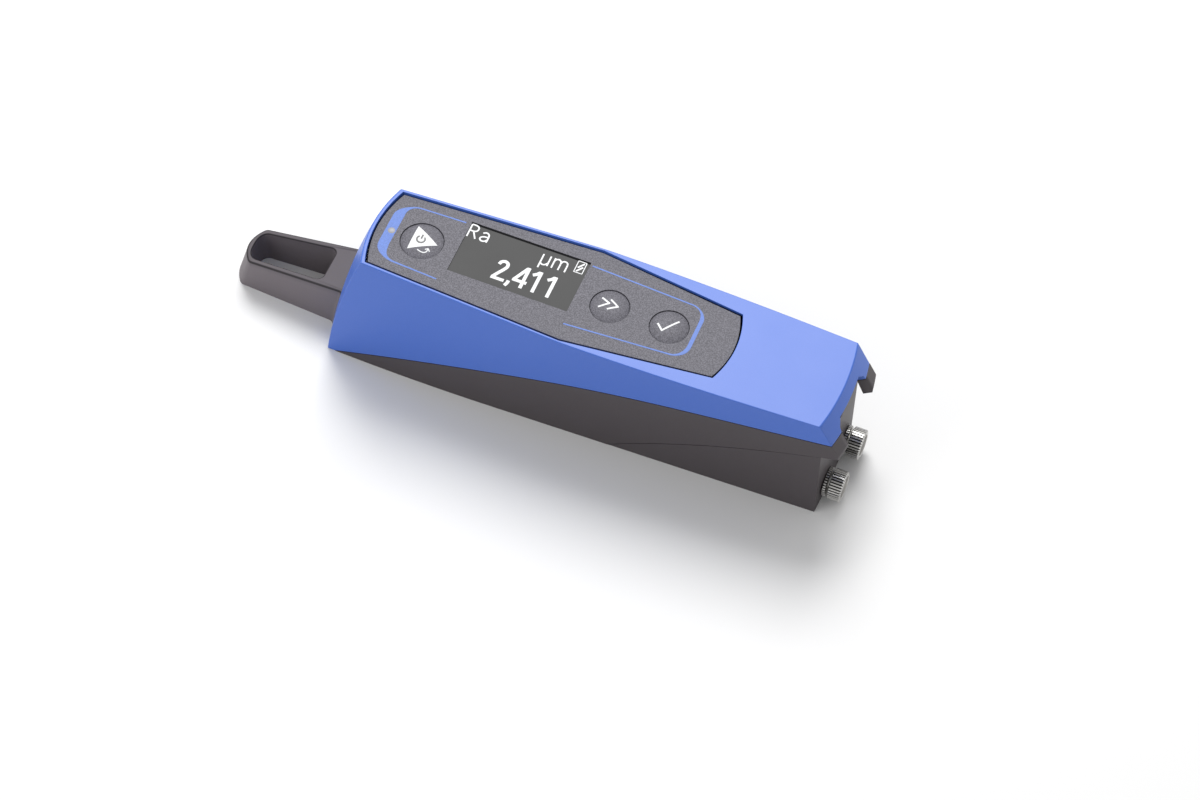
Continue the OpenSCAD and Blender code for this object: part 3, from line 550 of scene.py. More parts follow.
class PanelOutline:
    """The panel's outline, matched to the housing's columns."""

    def __init__(self, sizes, housing, grow):
        self.front = Vector((-sizes.front_len - grow, sizes.front_w / 2 + grow))
        self.waist = Vector((housing.waist_x, sizes.waist_w / 2 + grow))
        self.rear = Vector((sizes.rear_len + grow, sizes.rear_w / 2 + grow))
        self.front_arc = housing.front_arc
        self.rear_arc = sizes.rear_arc

    def front_point(self, share):
        return Vector((self.front.x - self.front_arc * (1 - share ** 2), share * self.front.y))

    def rear_point(self, share):
        return Vector((self.rear.x + self.rear_arc * (1 - share ** 2), share * self.rear.y))

    def side_point(self, share, waist):
        if share < waist:
            return mix(self.front, self.waist, share / waist)
        return mix(self.waist, self.rear, (share - waist) / (1 - waist))

    def half(self, count):
        """Points of half the outline from the middle of its front to the middle of its rear."""
        front = [self.front_point(k) for k in steps(count)]
        rear = [self.rear_point(1 - k) for k in steps(count)]
        return front + [self.waist] + rear

    def ring(self, count):
        """The whole outline as a ring of points."""
        half = self.half(count)
        return half + [Vector((p.x, -p.y)) for p in reversed(half[1:-1])]


def upper_low_end(column):
    """Height of the blue shell's lower edge on a column."""
    form, size = column.form, column.form.size
    y = column.outer(0).y
    if column.kind == "front":
        return size.nose_hole_h if y < size.nose_hole_w / 2 else 0.0
    if column.kind == "rear":
        notch_top = TOP_Z - size.notch_drop
        inside = size.notch_w / 2 - y
        if inside > 0:
            return min(notch_top, notch_top - size.notch_corner + inside)
    return column.meet(form.seam, size.seam)


def build_upper_shell(form, panel_sizes):
    """Blue shell: skirt, rim and the frame around the control panel."""
    size = form.size
    columns, first, last, waist = housing_columns(form)
    outline = PanelOutline(panel_sizes, size, panel_sizes.groove)
    deck_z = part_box("panel_overlay")[0].z
    half = []
    for column in columns:
        low = upper_low_end(column)
        outer = [column.outer(mix(low, TOP_Z, k)) for k in steps(WALL_ROWS)]
        if column.kind == "front":
            inner_2d = outline.front_point(outer[-1].y / form.front_half(TOP_Z))
        elif column.kind == "rear":
            inner_2d = outline.rear_point(outer[-1].y / form.rear_half(TOP_Z))
        else:
            inner_2d = outline.side_point(column.place, waist)
        rim = [Vector((*inner_2d, TOP_Z)), Vector((*inner_2d, deck_z))]
        inner_top = max(low + size.seam, deck_z - size.wall)
        inner = [column.inner(mix(inner_top, low, k)) for k in steps(3)]
        half.append([placed(p) for p in outer + rim + inner])
    other = [[Vector((p.x, -p.y, p.z)) for p in section] for section in reversed(half[1:-1])]
    top_row = WALL_ROWS
    weights = {0: SEAM_ROUND, top_row: RIM_ROUND, top_row + 1: INNER_ROUND}
    corners = {k: (0, top_row, CORNER_ROUND) for k in (first, last)}
    whole = len(half) + len(other)
    corners.update({whole - k: value for k, value in list(corners.items())})
    mesh = loft("upper_shell_skin", half + other, weights, corners, closed=True)
    piece = add_piece(mesh, "housing", "blue_shell", "upper_shell")
    round_edges(piece, size.edge)


def build_lower_shell(form):
    """Dark middle shell: side bands, floor and the hooks of the rear lip."""
    size = form.size
    columns, _, _, _ = housing_columns(form)
    floor_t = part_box("drive_frame")[0].z
    rows = BAND_ROWS
    break_share = form.foot_share(size.cover_start)
    nudge = STEP / form.foot_span
    start = form.foot_share(-size.seam_start) + nudge
    shares = {c.place for c in columns if c.kind == "side" and c.place > start}
    shares = {s for s in shares | {start} if abs(s - break_share) > 4 * nudge}
    shares = sorted(shares | {break_share, break_share + nudge})
    band = [Column(form, "side", s) for s in shares]
    band += [c for c in columns if c.kind == "rear" and c.outer(0).y > size.notch_w / 2]
    sections = []
    for column in band:
        floored = column.kind == "side" and column.place <= break_share
        low = 0.0 if floored else column.meet(form.cover, size.cover_gap)
        high = max(low + size.seam, column.meet(form.seam, -size.seam))
        outer = [column.outer(mix(low, high, k)) for k in steps(rows)]
        inner_low = min(floor_t, high) if floored else low
        inner = [column.inner(high), column.inner(inner_low)]
        if floored:
            middle = [Vector((outer[0].x, 0, inner_low)), Vector((outer[0].x, 0, 0))]
        else:
            middle = [inner[-1], outer[0]]
        sections.append([placed(p) for p in outer + inner + middle])
    tongue_x = form.front_x(0) + size.wall
    tongue_y = form.front_half(0) - size.wall
    edge = Vector((tongue_x, tongue_y, 0))
    lip = Vector((tongue_x, tongue_y, floor_t))
    tongue = [edge] * rows + [lip, lip, lip, Vector((tongue_x, 0, floor_t)), Vector((tongue_x, 0, 0))]
    sections.insert(0, [placed(p) for p in tongue])
    weights = {0: FOOT_ROUND, rows: SEAM_ROUND}
    corners = {len(shares): (0, rows, CORNER_ROUND)}
    mesh = loft("lower_shell_skin", sections, weights, corners, mirror=True)
    piece = add_piece(mesh, "housing", "dark_shell", "lower_shell")
    round_edges(piece, size.edge)


def build_base_cover(form):
    """Dark base cover behind the middle shell."""
    size = form.size
    floor_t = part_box("drive_frame")[0].z
    rear_x = form.cover_x
    front_x = size.cover_start + size.seam
    rows = BAND_ROWS

    def side(share):
        x = mix(front_x, rear_x, share)
        return lambda z: Vector((x, form.side_half(x, z, rear_x), z))

    def rear(share):
        return lambda z: form.rear_point(form.rear_half(z) * share, z, rear_x, size.cover_arc)

    lines = [(side(k), False) for k in steps(COVER_STEPS)]
    lines += [(rear(1 - k), True) for k in steps(COVER_REAR_STEPS)[1:]]
    sections = []
    for line, at_rear in lines:
        high = max(crossing(line, form.cover, -size.cover_gap), size.seam)
        outer = [line(mix(0, high, k)) for k in steps(rows)]
        inset = Vector((-size.wall, 0, 0)) if at_rear else Vector((0, -size.wall, 0))
        floor_z = min(floor_t, high)
        inner = [outer[-1] + inset, Vector((*(outer[0] + inset).xy, floor_z))]
        middle_x = min(outer[0].x, rear_x - size.wall)
        middle = [Vector((middle_x, 0, floor_z)), Vector((middle_x, 0, 0))]
        sections.append([placed(p) for p in outer + inner + middle])
    weights = {0: FOOT_ROUND, rows: SEAM_ROUND}
    corners = {COVER_STEPS: (0, rows, COVER_CORNER_ROUND)}
    mesh = loft("base_cover_skin", sections, weights, corners, mirror=True)
    piece = add_piece(mesh, "housing", "dark_shell", "base_cover")
    round_edges(piece, size.edge)


def solid_plate(name, rings, low, high):
    """A flat plate from an outline and the outlines of its holes."""
    work = bmesh.new()
    edges = []
    for ring in rings:
        verts = [work.verts.new((p.x, p.y, high)) for p in ring]
        edges += [work.edges.new((a, b)) for a, b in zip(verts, verts[1:] + verts[:1])]
    bmesh.ops.triangle_fill(work, use_beauty=True, edges=edges)
    extruded = bmesh.ops.extrude_face_region(work, geom=work.faces[:], use_keep_orig=True)
    moved = [v for v in extruded["geom"] if isinstance(v, bmesh.types.BMVert)]
    bmesh.ops.translate(work, vec=(0, 0, low - high), verts=moved)
    return finished(work, name)


def circle(centre, radius, count=96):
    """Ring of points on a circle."""
    return [centre + radius * Vector((math.cos(a), math.sin(a)))
            for a in (2 * math.pi * k / count for k in range(count))]


KEYS = ("power_key", "next_key", "enter_key")
KEY_BODIES = {"power_key": "power_button", "next_key": "next_button", "enter_key": "enter_button"}


def key_radius(sizes, key):
    """Radius of a key's dome."""
    return sizes.power_key_r if key == "power_key" else sizes.small_key_r


def view_ring(sizes):
    """Outline of the display's opening."""
    middle = node_middle("display_window")
    l, w = sizes.view_l / 2, sizes.view_w / 2
    signs = ((-1, -1), (1, -1), (1, 1), (-1, 1))
    return [Vector((middle.x + sx * l, middle.y + sy * w)) for sx, sy in signs]


# Share by which the window is drawn in from its opening
WINDOW_INSET = 0.0005
# Widths of the black strip that paints the shade of the display recess's far wall, on its thin sides and on
# its far side, in strip thicknesses
SHADE_STRIP_THIN = 0.1
SHADE_STRIP_FAR = 2.2


def build_panel(sizes, housing):
    """Grey panel film with its openings, the window, and a black strip on the window's edges, wide on its
    far side, that paints the shade of the recess's far wall.
    """
    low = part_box("panel_overlay")[0].z
    outline = PanelOutline(sizes, housing, -sizes.groove).ring(16)
    near = 1 - 2 * sizes.near_gap / sizes.waist_w
    ring = [Vector((p.x + DISPLAY_X, p.y * (near if p.y < 0 else 1))) for p in outline]
    holes = [circle(node_middle(key).xy, key_radius(sizes, key) + sizes.key_gap) for key in KEYS]
    light_r = (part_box("light_pipe")[1].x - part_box("light_pipe")[0].x) / 2
    holes.append(circle(node_middle("light_pipe").xy, light_r + sizes.key_gap / 4, 40))
    opening = view_ring(sizes)
    mesh = solid_plate("panel_film", [ring, opening, *holes], low, PANEL_Z)
    add_piece(mesh, "housing", "panel_film", "panel_overlay")
    inside = [p.lerp(node_middle("display_window").xy, WINDOW_INSET) for p in opening]
    window = solid_plate("window", [inside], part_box("display_window")[0].z, WINDOW_Z)
    add_piece(window, "housing", "clear_window", "display_window")
    # Painted shade: the strip is wide only on the far side, where the recess's shaded wall would show
    thin, far = SHADE_STRIP_THIN * sizes.gasket, SHADE_STRIP_FAR * sizes.gasket
    shift = ((thin, thin), (-thin, thin), (-thin, -far), (thin, -far))
    inside = [p + Vector(v) for p, v in zip(opening, shift)]
    gasket = solid_plate("display_gasket", [opening, inside], WINDOW_Z, WINDOW_Z + sizes.print_t)
    add_piece(gasket, "housing", "recess_black")


def revolve(work, rings):
    """Skin over a row of rings, in which a ring of one point closes an end."""
    for a, b in zip(rings, rings[1:]):
        count = max(len(a), len(b))
        for k in range(count):
            n = (k + 1) % count
            if len(a) == 1:
                work.faces.new((a[0], b[n], b[k]))
            elif len(b) == 1:
                work.faces.new((a[k], a[n], b[0]))
            else:
                work.faces.new((a[k], a[n], b[n], b[k]))


def lathe(name, profile, centre, count=96):
    """A turned piece about an upright axis, from radius and height pairs."""
    work = bmesh.new()
    rings = []
    for radius, z in profile:
        ring = [centre] if radius < SAME else circle(centre, radius, count)
        rings.append([work.verts.new((p.x, p.y, z)) for p in ring])
    revolve(work, rings)
    mesh = finished(work, name)
    smooth(mesh, KEY_CREASE)
    return mesh


# Power of a dome's profile, depth of a key below the panel, and small roundings
DOME_POWER = 2.4
KEY_DEPTH = 1.4 * MM
KEY_EDGE = 0.12 * MM
LIGHT_CROWN = 0.12 * MM


def dome_height(sizes, key, radius):
    """Height of a key's dome at a distance from its middle."""
    share = radius / key_radius(sizes, key)
    return PANEL_Z - sizes.key_sink + (sizes.key_dome + sizes.key_sink) * (1 - share ** DOME_POWER)


def build_keys(sizes):
    """Domed keys and the frosted status light."""
    foot = PANEL_Z - sizes.key_sink
    bottom = PANEL_Z - KEY_DEPTH
    for key in KEYS:
        radius = key_radius(sizes, key)
        dome = [(radius * k, dome_height(sizes, key, radius * k)) for k in steps(14)]
        dome = [(r, z) for r, z in dome if r < radius - KEY_EDGE]
        edge = [(radius - KEY_EDGE * (1 - math.sin(a)), foot - KEY_EDGE * (1 - math.cos(a)))
                for a in (math.pi / 2 * k for k in steps(4))]
        mesh = lathe(key + "_cap", dome + edge + [(radius, bottom), (0, bottom)], node_middle(key).xy)
        add_piece(mesh, KEY_BODIES[key], "key_grey", key)
    low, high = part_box("light_pipe")
    radius = (high.x - low.x) / 2
    profile = [(radius * k, PANEL_Z + LIGHT_CROWN * (1 - k ** 2) + sizes.print_t) for k in steps(6)]
    profile += [(radius, low.z), (0, low.z)]
    mesh = lathe("status_light", profile, node_middle("light_pipe").xy, 48)
    add_piece(mesh, "housing", "light_grey", "light_pipe")


def ribbon(path, widths, ground, thickness):
    """Corner points and faces of a printed line along a path, raised off its ground."""
    sides = []
    for k, point in enumerate(path):
        before, after = path[max(k - 1, 0)], path[min(k + 1, len(path) - 1)]
        along = (after - before).normalized()
        across = Vector((-along.y, along.x)) * widths[k] / 2
        sides.append((point + across, point - across))
    verts, faces = [], []
    for left, right in sides:
        for p in (left, right):
            z = ground(p)
            verts += [(p.x, p.y, z), (p.x, p.y, z + thickness)]
    for k in range(len(sides) - 1):
        a, b = 4 * k, 4 * (k + 1)
        faces += [(a + 1, a + 3, b + 3, b + 1), (a, b, b + 2, a + 2),
                  (a, a + 1, b + 1, b), (a + 2, b + 2, b + 3, a + 3)]
    last = 4 * (len(sides) - 1)
    faces += [(0, 2, 3, 1), (last, last + 1, last + 3, last + 2)]
    return verts, faces


# Strokes that cross differ in height by this share of their thickness, in a cycle
STAGGER = 0.07
STAGGER_CYCLE = 6


def print_mesh(name, strokes, ground, thickness):
    """One mesh of several printed strokes, each a path and its widths."""
    verts, faces = [], []
    for k, (path, widths) in enumerate(strokes):
        more, quads = ribbon(path, widths, ground, thickness * (1 + STAGGER * (k % STAGGER_CYCLE)))
        faces += [tuple(i + len(verts) for i in q) for q in quads]
        verts += more
    return solid(name, verts, faces)


def solid(name, verts, faces):
    """A mesh from corner points and faces."""
    work = bmesh.new()
    points = [work.verts.new(v) for v in verts]
    for face in faces:
        work.faces.new([points[k] for k in face])
    return finished(work, name)


def dense(points, step=0.15 * MM):
    """A path with extra points, so that it follows a curved ground."""
    path = [points[0]]
    for a, b in zip(points, points[1:]):
        count = max(1, math.ceil((b - a).length / step))
        path += [mix(a, b, k / count) for k in range(1, count + 1)]
    return path


def arc_path(centre, radius, start, end, count=16):
    """Points along an arc, with angles in degrees."""
    return [centre + radius * Vector((math.cos(math.radians(a)), math.sin(math.radians(a))))
            for a in (mix(start, end, k) for k in steps(count))]


def at(x, y):
    """A place on the panel, in millimetres from the display's centre line."""
    return Vector((x * MM + DISPLAY_X, y * MM))


def bracket(far_end, far_y, corner, turn_x, near_y, near_end):
    """A printed bracket: a far line, a rounded turn and a near line."""
    side = 1 if turn_x > far_end[0] else -1
    centre_x = turn_x - side * corner
    turn = 90 - 90 * side
    far_arc = arc_path(at(centre_x, far_y - corner), corner * MM, 90, turn)
    near_arc = arc_path(at(centre_x, near_y + corner), corner * MM, turn, turn - 90 * side)
    return dense([at(*far_end), *far_arc, *near_arc, at(*near_end)], BRACKET_STEP)


def swelling(path, thin, thick, start, full):
    """Widths that grow from thin lines to a thick turn, by distance from the panel's middle line."""
    widths = []
    for p in path:
        share = min(1, max(0, (start - abs(p.y)) / (start - full)))
        widths.append(mix(thin, thick, share * share * (3 - 2 * share)))
    return widths


# The brackets in millimetres: far end, far line, corner radius, turn, near line and near end
FRONT_BRACKET = ((-15.9, 8.75), 8.4, 4.3, -30.9, -7.9, (-15.9, -8.5))
REAR_BRACKET = ((15.3, 8.85), 7.75, 3.7, 43.65, -6.95, (15.25, -8.55))
# Widths of their turns, and where these start to swell and are full
FRONT_BAND = (2.5 * MM, 8.4 * MM, 4.5 * MM)
REAR_BAND = (0.95 * MM, 7.4 * MM, 4.6 * MM)
BRACKET_STEP = 0.3 * MM


def build_panel_print(sizes):
    """Blue printed brackets around the keys and the display."""
    strokes = []
    for places, band in ((FRONT_BRACKET, FRONT_BAND), (REAR_BRACKET, REAR_BAND)):
        path = bracket(*places)
        strokes.append((path, swelling(path, sizes.line_w, *band)))
    mesh = print_mesh("panel_print", strokes, lambda _: PANEL_Z, sizes.print_t)
    add_piece(mesh, "housing", "print_blue")


def flowing(points, count=8):
    """A smooth path through a few points."""
    path = []
    for k in range(len(points) - 1):
        p0, p1 = points[max(k - 1, 0)], points[k]
        p2, p3 = points[k + 1], points[min(k + 2, len(points) - 1)]
        for j in range(count):
            t = j / count
            path.append(0.5 * (2 * p1 + (p2 - p0) * t + (2 * p0 - 5 * p1 + 4 * p2 - p3) * t ** 2
                               + (3 * p1 - p0 - 3 * p2 + p3) * t ** 3))
    return path + [points[-1]]


# Characters of the display: lists of places in millimetres, each a straight or flowing stroke
LETTER_STROKES = [
    [(-14.4, 5.41), (-14.4, 9.21)],
    [(-14.4, 9.04), (-13.4, 9.04), (-12.75, 8.76), (-12.55, 8.16),
     (-12.8, 7.56), (-13.4, 7.31), (-14.4, 7.31)],
    [(-13.45, 7.31), (-12.35, 5.41)],
    [(-11.2, 7.65), (-10.5, 8.0), (-9.85, 7.75), (-9.6, 7.05), (-9.6, 5.41)],
    [(-9.6, 6.85), (-10.5, 6.8), (-11.2, 6.45), (-11.35, 5.95), (-10.9, 5.5), (-10.15, 5.6), (-9.6, 6.2)],
    [(3.85, 7.71), (3.85, 3.71)],
    [(3.85, 5.96), (3.95, 5.21), (4.45, 4.86), (5.1, 5.01), (5.6, 5.66)],
    [(5.65, 7.71), (5.65, 4.81)],
    [(6.75, 4.76), (6.75, 7.66)],
    [(6.75, 6.76), (7.05, 7.36), (7.6, 7.56), (8.15, 7.31), (8.35, 6.66), (8.35, 4.76)],
    [(8.35, 6.76), (8.65, 7.36), (9.2, 7.56), (9.75, 7.31), (9.95, 6.66), (9.95, 4.76)],
]
DIGIT_STROKES = [
    [(-4.45, 1.1), (-4.2, 1.85), (-3.4, 2.25), (-2.65, 1.9), (-2.45, 1.1), (-2.85, 0.15), (-3.7, -1.2),
     (-4.5, -2.55)],
    [(-4.95, -2.8), (-1.75, -2.8)],
    [(-0.75, -2.35), (-0.8, -3.1), (-1.1, -3.95)],
    [(2.4, 2.75), (2.4, -3.3)],
    [(2.2, 2.5), (1.2, 0.5), (0.3, -1.35)],
    [(-0.15, -1.55), (3.3, -1.55)],
    [(5.35, 2.75), (5.35, -3.3)],
    [(3.75, 1.25), (4.5, 1.75), (5.1, 2.5)],
    [(8.95, 2.75), (8.95, -3.3)],
    [(7.35, 1.25), (8.1, 1.75), (8.7, 2.5)],
]
LETTER_W = 0.37 * MM
DIGIT_W = 0.8 * MM
# Corners of the battery symbol in millimetres, its line width, and the ends of its two bars
BATTERY_LOW = (11.85, 5.85)
BATTERY_HIGH = (13.85, 9.05)
BATTERY_LINE = 0.2 * MM
BATTERY_BARS = [((12.3, 6.15), (13.45, 7.65)), ((12.3, 7.2), (13.45, 8.7))]


def build_display(sizes):
    """Lit characters of the reading and the battery symbol."""
    strokes = []
    for shapes, width in ((LETTER_STROKES, LETTER_W), (DIGIT_STROKES, DIGIT_W)):
        for shape in shapes:
            path = flowing([at(*p) for p in shape])
            strokes.append((path, [width] * len(path)))
    mesh = print_mesh("reading", strokes, lambda _: WINDOW_Z, sizes.print_t)
    add_piece(mesh, "housing", "lit_white")
    (x0, y0), (x1, y1) = BATTERY_LOW, BATTERY_HIGH
    corners = [(x0, y0), (x1, y0), (x1, y1), (x0, y1), (x0, y0 - 0.1)]
    strokes = [([at(*a), at(*b)], [BATTERY_LINE] * 2) for a, b in zip(corners, corners[1:])]
    strokes += [([at(*a), at(*b)], [2 * BATTERY_LINE] * 2) for a, b in BATTERY_BARS]
    mesh = print_mesh("battery_symbol", strokes, lambda _: WINDOW_Z, sizes.print_t)
    add_piece(mesh, "housing", "lit_white")


def triangle_print(name, corners, ground, thickness, count=16):
    """A printed triangle that follows a curved ground."""
    a, b, c = corners
    verts, faces, index = [], [], {}
    for layer in (0, 1):
        for i in range(count + 1):
            for j in range(count + 1 - i):
                p = a + (b - a) * i / count + (c - a) * j / count
                index[layer, i, j] = len(verts)
                verts.append((p.x, p.y, ground(p) + layer * thickness))
        for i in range(count):
            for j in range(count - i):
                faces.append((index[layer, i, j], index[layer, i + 1, j], index[layer, i, j + 1]))
                if i + j < count - 1:
                    corner = index[layer, i + 1, j + 1]
                    faces.append((index[layer, i + 1, j], corner, index[layer, i, j + 1]))
    ring = [(k, 0) for k in range(count)] + [(count - k, k) for k in range(count)]
    ring += [(0, count - k) for k in range(count)]
    for p, q in zip(ring, ring[1:] + ring[:1]):
        faces.append((index[(0, *p)], index[(0, *q)], index[(1, *q)], index[(1, *p)]))
    return solid(name, verts, faces)


# Strokes of the key symbols in millimetres, and their widths
KEY_STROKES = {
    "power_key": [
        [(-23.1, -2.75), (-22.2, -3.0), (-21.4, -2.95), (-20.95, -2.5), (-20.85, -1.75)],
        [(-21.5, -2.1), (-20.8, -1.6)], [(-20.85, -1.6), (-20.3, -2.25)]],
    "next_key": [
        [(20.7, 1.4), (22.9, 0.4)], [(22.9, 0.55), (20.75, -1.3)],
        [(22.75, 1.6), (25.05, 0.25)], [(25.05, 0.4), (22.85, -1.2)]],
    "enter_key": [[(34.8, -0.2), (36.45, -1.8)], [(36.3, -1.85), (39.2, 2.05)]],
}
KEY_STROKE_W = {"power_key": 0.252 * MM, "next_key": 0.42 * MM, "enter_key": 0.42 * MM}
# The power key's white triangle, and the power symbol on it
TRIANGLE = [(-25.45, 3.55), (-25.4, -3.3), (-19.3, 0.1)]
POWER_CENTRE = (-23.4, 0.1)
POWER_R = 0.95 * MM
POWER_LINE = 0.38 * MM


def build_key_symbols(sizes):
    """White symbols printed on the domes of the keys, and the black one on the white triangle."""
    def ground(key, lift=0):
        middle = node_middle(key).xy
        return lambda p: dome_height(sizes, key, (p - middle).length) + lift

    # The printed symbols and the power triangle take the glowing lit_white finish: painted light on print
    for key, shapes in KEY_STROKES.items():
        strokes = []
        for shape in shapes:
            points = [at(*p) for p in shape]
            path = dense(flowing(points) if len(points) > 2 else points)
            strokes.append((path, [KEY_STROKE_W[key]] * len(path)))
        mesh = print_mesh(key + "_symbol", strokes, ground(key), sizes.print_t)
        add_piece(mesh, KEY_BODIES[key], "lit_white")
        if key == "power_key":
            mesh = triangle_print("power_triangle", [at(*p) for p in TRIANGLE], ground(key), sizes.print_t)
            add_piece(mesh, KEY_BODIES[key], "lit_white")
    centre = at(*POWER_CENTRE)
    ring = arc_path(centre, POWER_R, 130, 410, 28)
    bar = dense([centre + Vector((0, 0.15 * MM)), centre + Vector((0, 1.35 * MM))])
    strokes = [(path, [POWER_LINE] * len(path)) for path in (ring, bar)]
    mesh = print_mesh("power_symbol", strokes, ground("power_key", sizes.print_t), 2 * sizes.print_t)
    add_piece(mesh, "power_button", "display_black")


# How far the soft corners of the tip reach along the sides and along the end, as shares of them
SIDE_REACH = 0.025
END_REACH = 0.06
# How much the root's fillet fades towards the top, and how far the core line lies in from the edge
FILLET_FADE = 0.7
CORE_INSET = 1.15
CORE_START = 0.9
# Where the nose's sections stand close: at the fillet, in millimetres from the root, and at the corners
FILLET_PLACES = (2.8, 7)
SIDE_END = 0.95
CORNER_PLACES = [0.975, 0.981, 0.987, 0.994]
END_STEP = 0.015
TIP_START = 1.08
# Power that squares the slot's round end, and the slot edge's share of the rounding
SLOT_POWER = 0.77
LIP_SHARE = 0.7


class NoseForm:
    """The nose's outer outline and slot outline, point for point, at any height."""

    def __init__(self, sizes, housing):
        self.size = sizes
        self.housing = housing
        self.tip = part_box("nose_guard")[0].x - DISPLAY_X
        self.root = sizes.root_back - housing.size.front_len - housing.size.front_lean
        self.leave = self.root - sizes.buried
        self.corner = self.tip + sizes.arc + sizes.lean
        self.slot_front = self.tip + sizes.lean + sizes.rim
        self.slot_rear = self.slot_front + sizes.slot_l

    def share(self, x):
        return max(0, (self.leave - x) / (self.leave - self.corner))

    def top(self, x):
        return mix(self.size.root_h, self.size.tip_h, self.share(x))

    def half(self, x, up):
        return mix(self.size.root_w, self.size.tip_w, self.share(x)) / 2 + self.size.draft * (1 - up)

    def flared(self, x, up):
        """Half-width with the fillet that meets the housing's raked front."""
        half, radius = self.half(x, up), self.size.fillet * (1 - FILLET_FADE * up)
        face = self.housing.front_point(half, up * self.top(x)).x
        near = max(0, min(1, 1 - (face - x) / radius))
        return half + radius * (1 - math.sqrt(1 - near * near))

    def outer(self, place, up):
        """Point on the outer skin, with soft corners at the tip."""
        for corner, back, ahead in ((1, SIDE_REACH, END_REACH), (2, END_REACH, SIDE_REACH)):
            if corner - back < place < corner + ahead:
                reach = back if place < corner else ahead
                t = 0.5 + 0.5 * (place - corner) / reach
                a, b, c = (self.plain(q, up) for q in (corner - back, corner, corner + ahead))
                return mix(mix(a, b, t), mix(b, c, t), t)
        return self.plain(place, up)

    def plain(self, place, up):
        """Point on the skin; places run from the near root round the tip to the far root."""
        size = self.size
        corner = self.corner - size.lean * (1 - up)
        if place <= 1 or place >= 2:
            share = place if place <= 1 else 3 - place
            x = mix(self.root, corner, share)
            y = math.copysign(self.flared(x, up), place - 1.5)
        else:
            across = 2 * (place - 1.5)
            x = corner - size.arc * (1 - across * across)
            y = self.half(corner, up) * across
        return Vector((x, y, up * self.top(x)))

    def core(self, place, point, out):
        """Point of the inner line that keeps clear of the root's fillet."""
        inset = CORE_INSET * self.size.edge
        if CORE_START < place < 3 - CORE_START:
            return point - out * inset
        return Vector((point.x, math.copysign(self.half(point.x, 1) - inset, point.y)))

    def slot(self, place):
        """Point on the slot's outline that belongs to a place on the outer skin."""
        size = self.size
        start, end = self.slot_rear - size.slot_corner, self.slot_front + size.slot_end
        if place <= 1 or place >= 2:
            share = place if place <= 1 else 3 - place
            return Vector((mix(start, end, share), math.copysign(
                mix(size.slot_w, size.slot_tip_w, share) / 2, place - 1.5)))
        angle = math.pi * (place - 1.5)
        back, across = max(0, math.cos(angle)) ** SLOT_POWER, abs(math.sin(angle)) ** SLOT_POWER
        return Vector((end - size.slot_end * back, math.copysign(size.slot_tip_w / 2 * across, angle)))


def cut(piece, cutters):
    """Cuts shapes out of a piece and leaves no helper behind."""
    for mesh in cutters:
        tool = bpy.data.objects.new("cutter", mesh)
        bpy.context.scene.collection.objects.link(tool)
        change = piece.modifiers.new("Cut", "BOOLEAN")
        change.operation = "DIFFERENCE"
        change.solver = "EXACT"
        change.object = tool
        bpy.context.view_layer.update()
        result = bpy.data.meshes.new_from_object(
            piece.evaluated_get(bpy.context.evaluated_depsgraph_get()))
        piece.modifiers.clear()
        piece.data = result
        bpy.data.objects.remove(tool)
    work = bmesh.new()
    work.from_mesh(piece.data)
    bmesh.ops.remove_doubles(work, verts=work.verts, dist=TOUCH)
    bmesh.ops.dissolve_degenerate(work, edges=work.edges, dist=TOUCH)
    work.to_mesh(piece.data)
    work.free()


def outward(points, k):
    """Unit vector that points out of an open outline which runs round its tip."""
    before, after = points[max(k - 1, 0)], points[min(k + 1, len(points) - 1)]
    along = (after - before).normalized()
    return Vector((-along.y, along.x))


# How far the cutters reach past the nose, and the length of the gap below its channel
CUT_MARGIN = 2 * MM
GAP_LEN = 6 * MM
# Painted shade on the nose, as shares of its darker colour: on the top, where it stands for how the
# overhead light falls, and along the rounded edges from wall to top, where it stands for a dark reflection
TOP_PAINTED_SHADE = 0.44
EDGE_PAINTED_SHADES = [0.2, 0.8, 1.0, 1.0, 0.9, TOP_PAINTED_SHADE]


def nose_section(wall, out, core, slot, away, heights, radius):
    """Closed section: wall, rounded top edge, core line, slot edge and slot wall."""
    turn = [math.pi / 2 * k for k in steps(5)]
    top, core_top, slot_top = heights
    edge = [Vector((*(wall[-1].xy - out * radius * (1 - math.cos(a))), top - radius * (1 - math.sin(a))))
            for a in turn]
    small = radius * LIP_SHARE
    lip = [Vector((*(slot + away * small * (1 - math.cos(a))), slot_top - small * (1 - math.sin(a))))
           for a in reversed(turn)]
    return wall[:-1] + edge + [Vector((*core, core_top))] + lip + [Vector((*slot, 0)), Vector((*core, 0))]


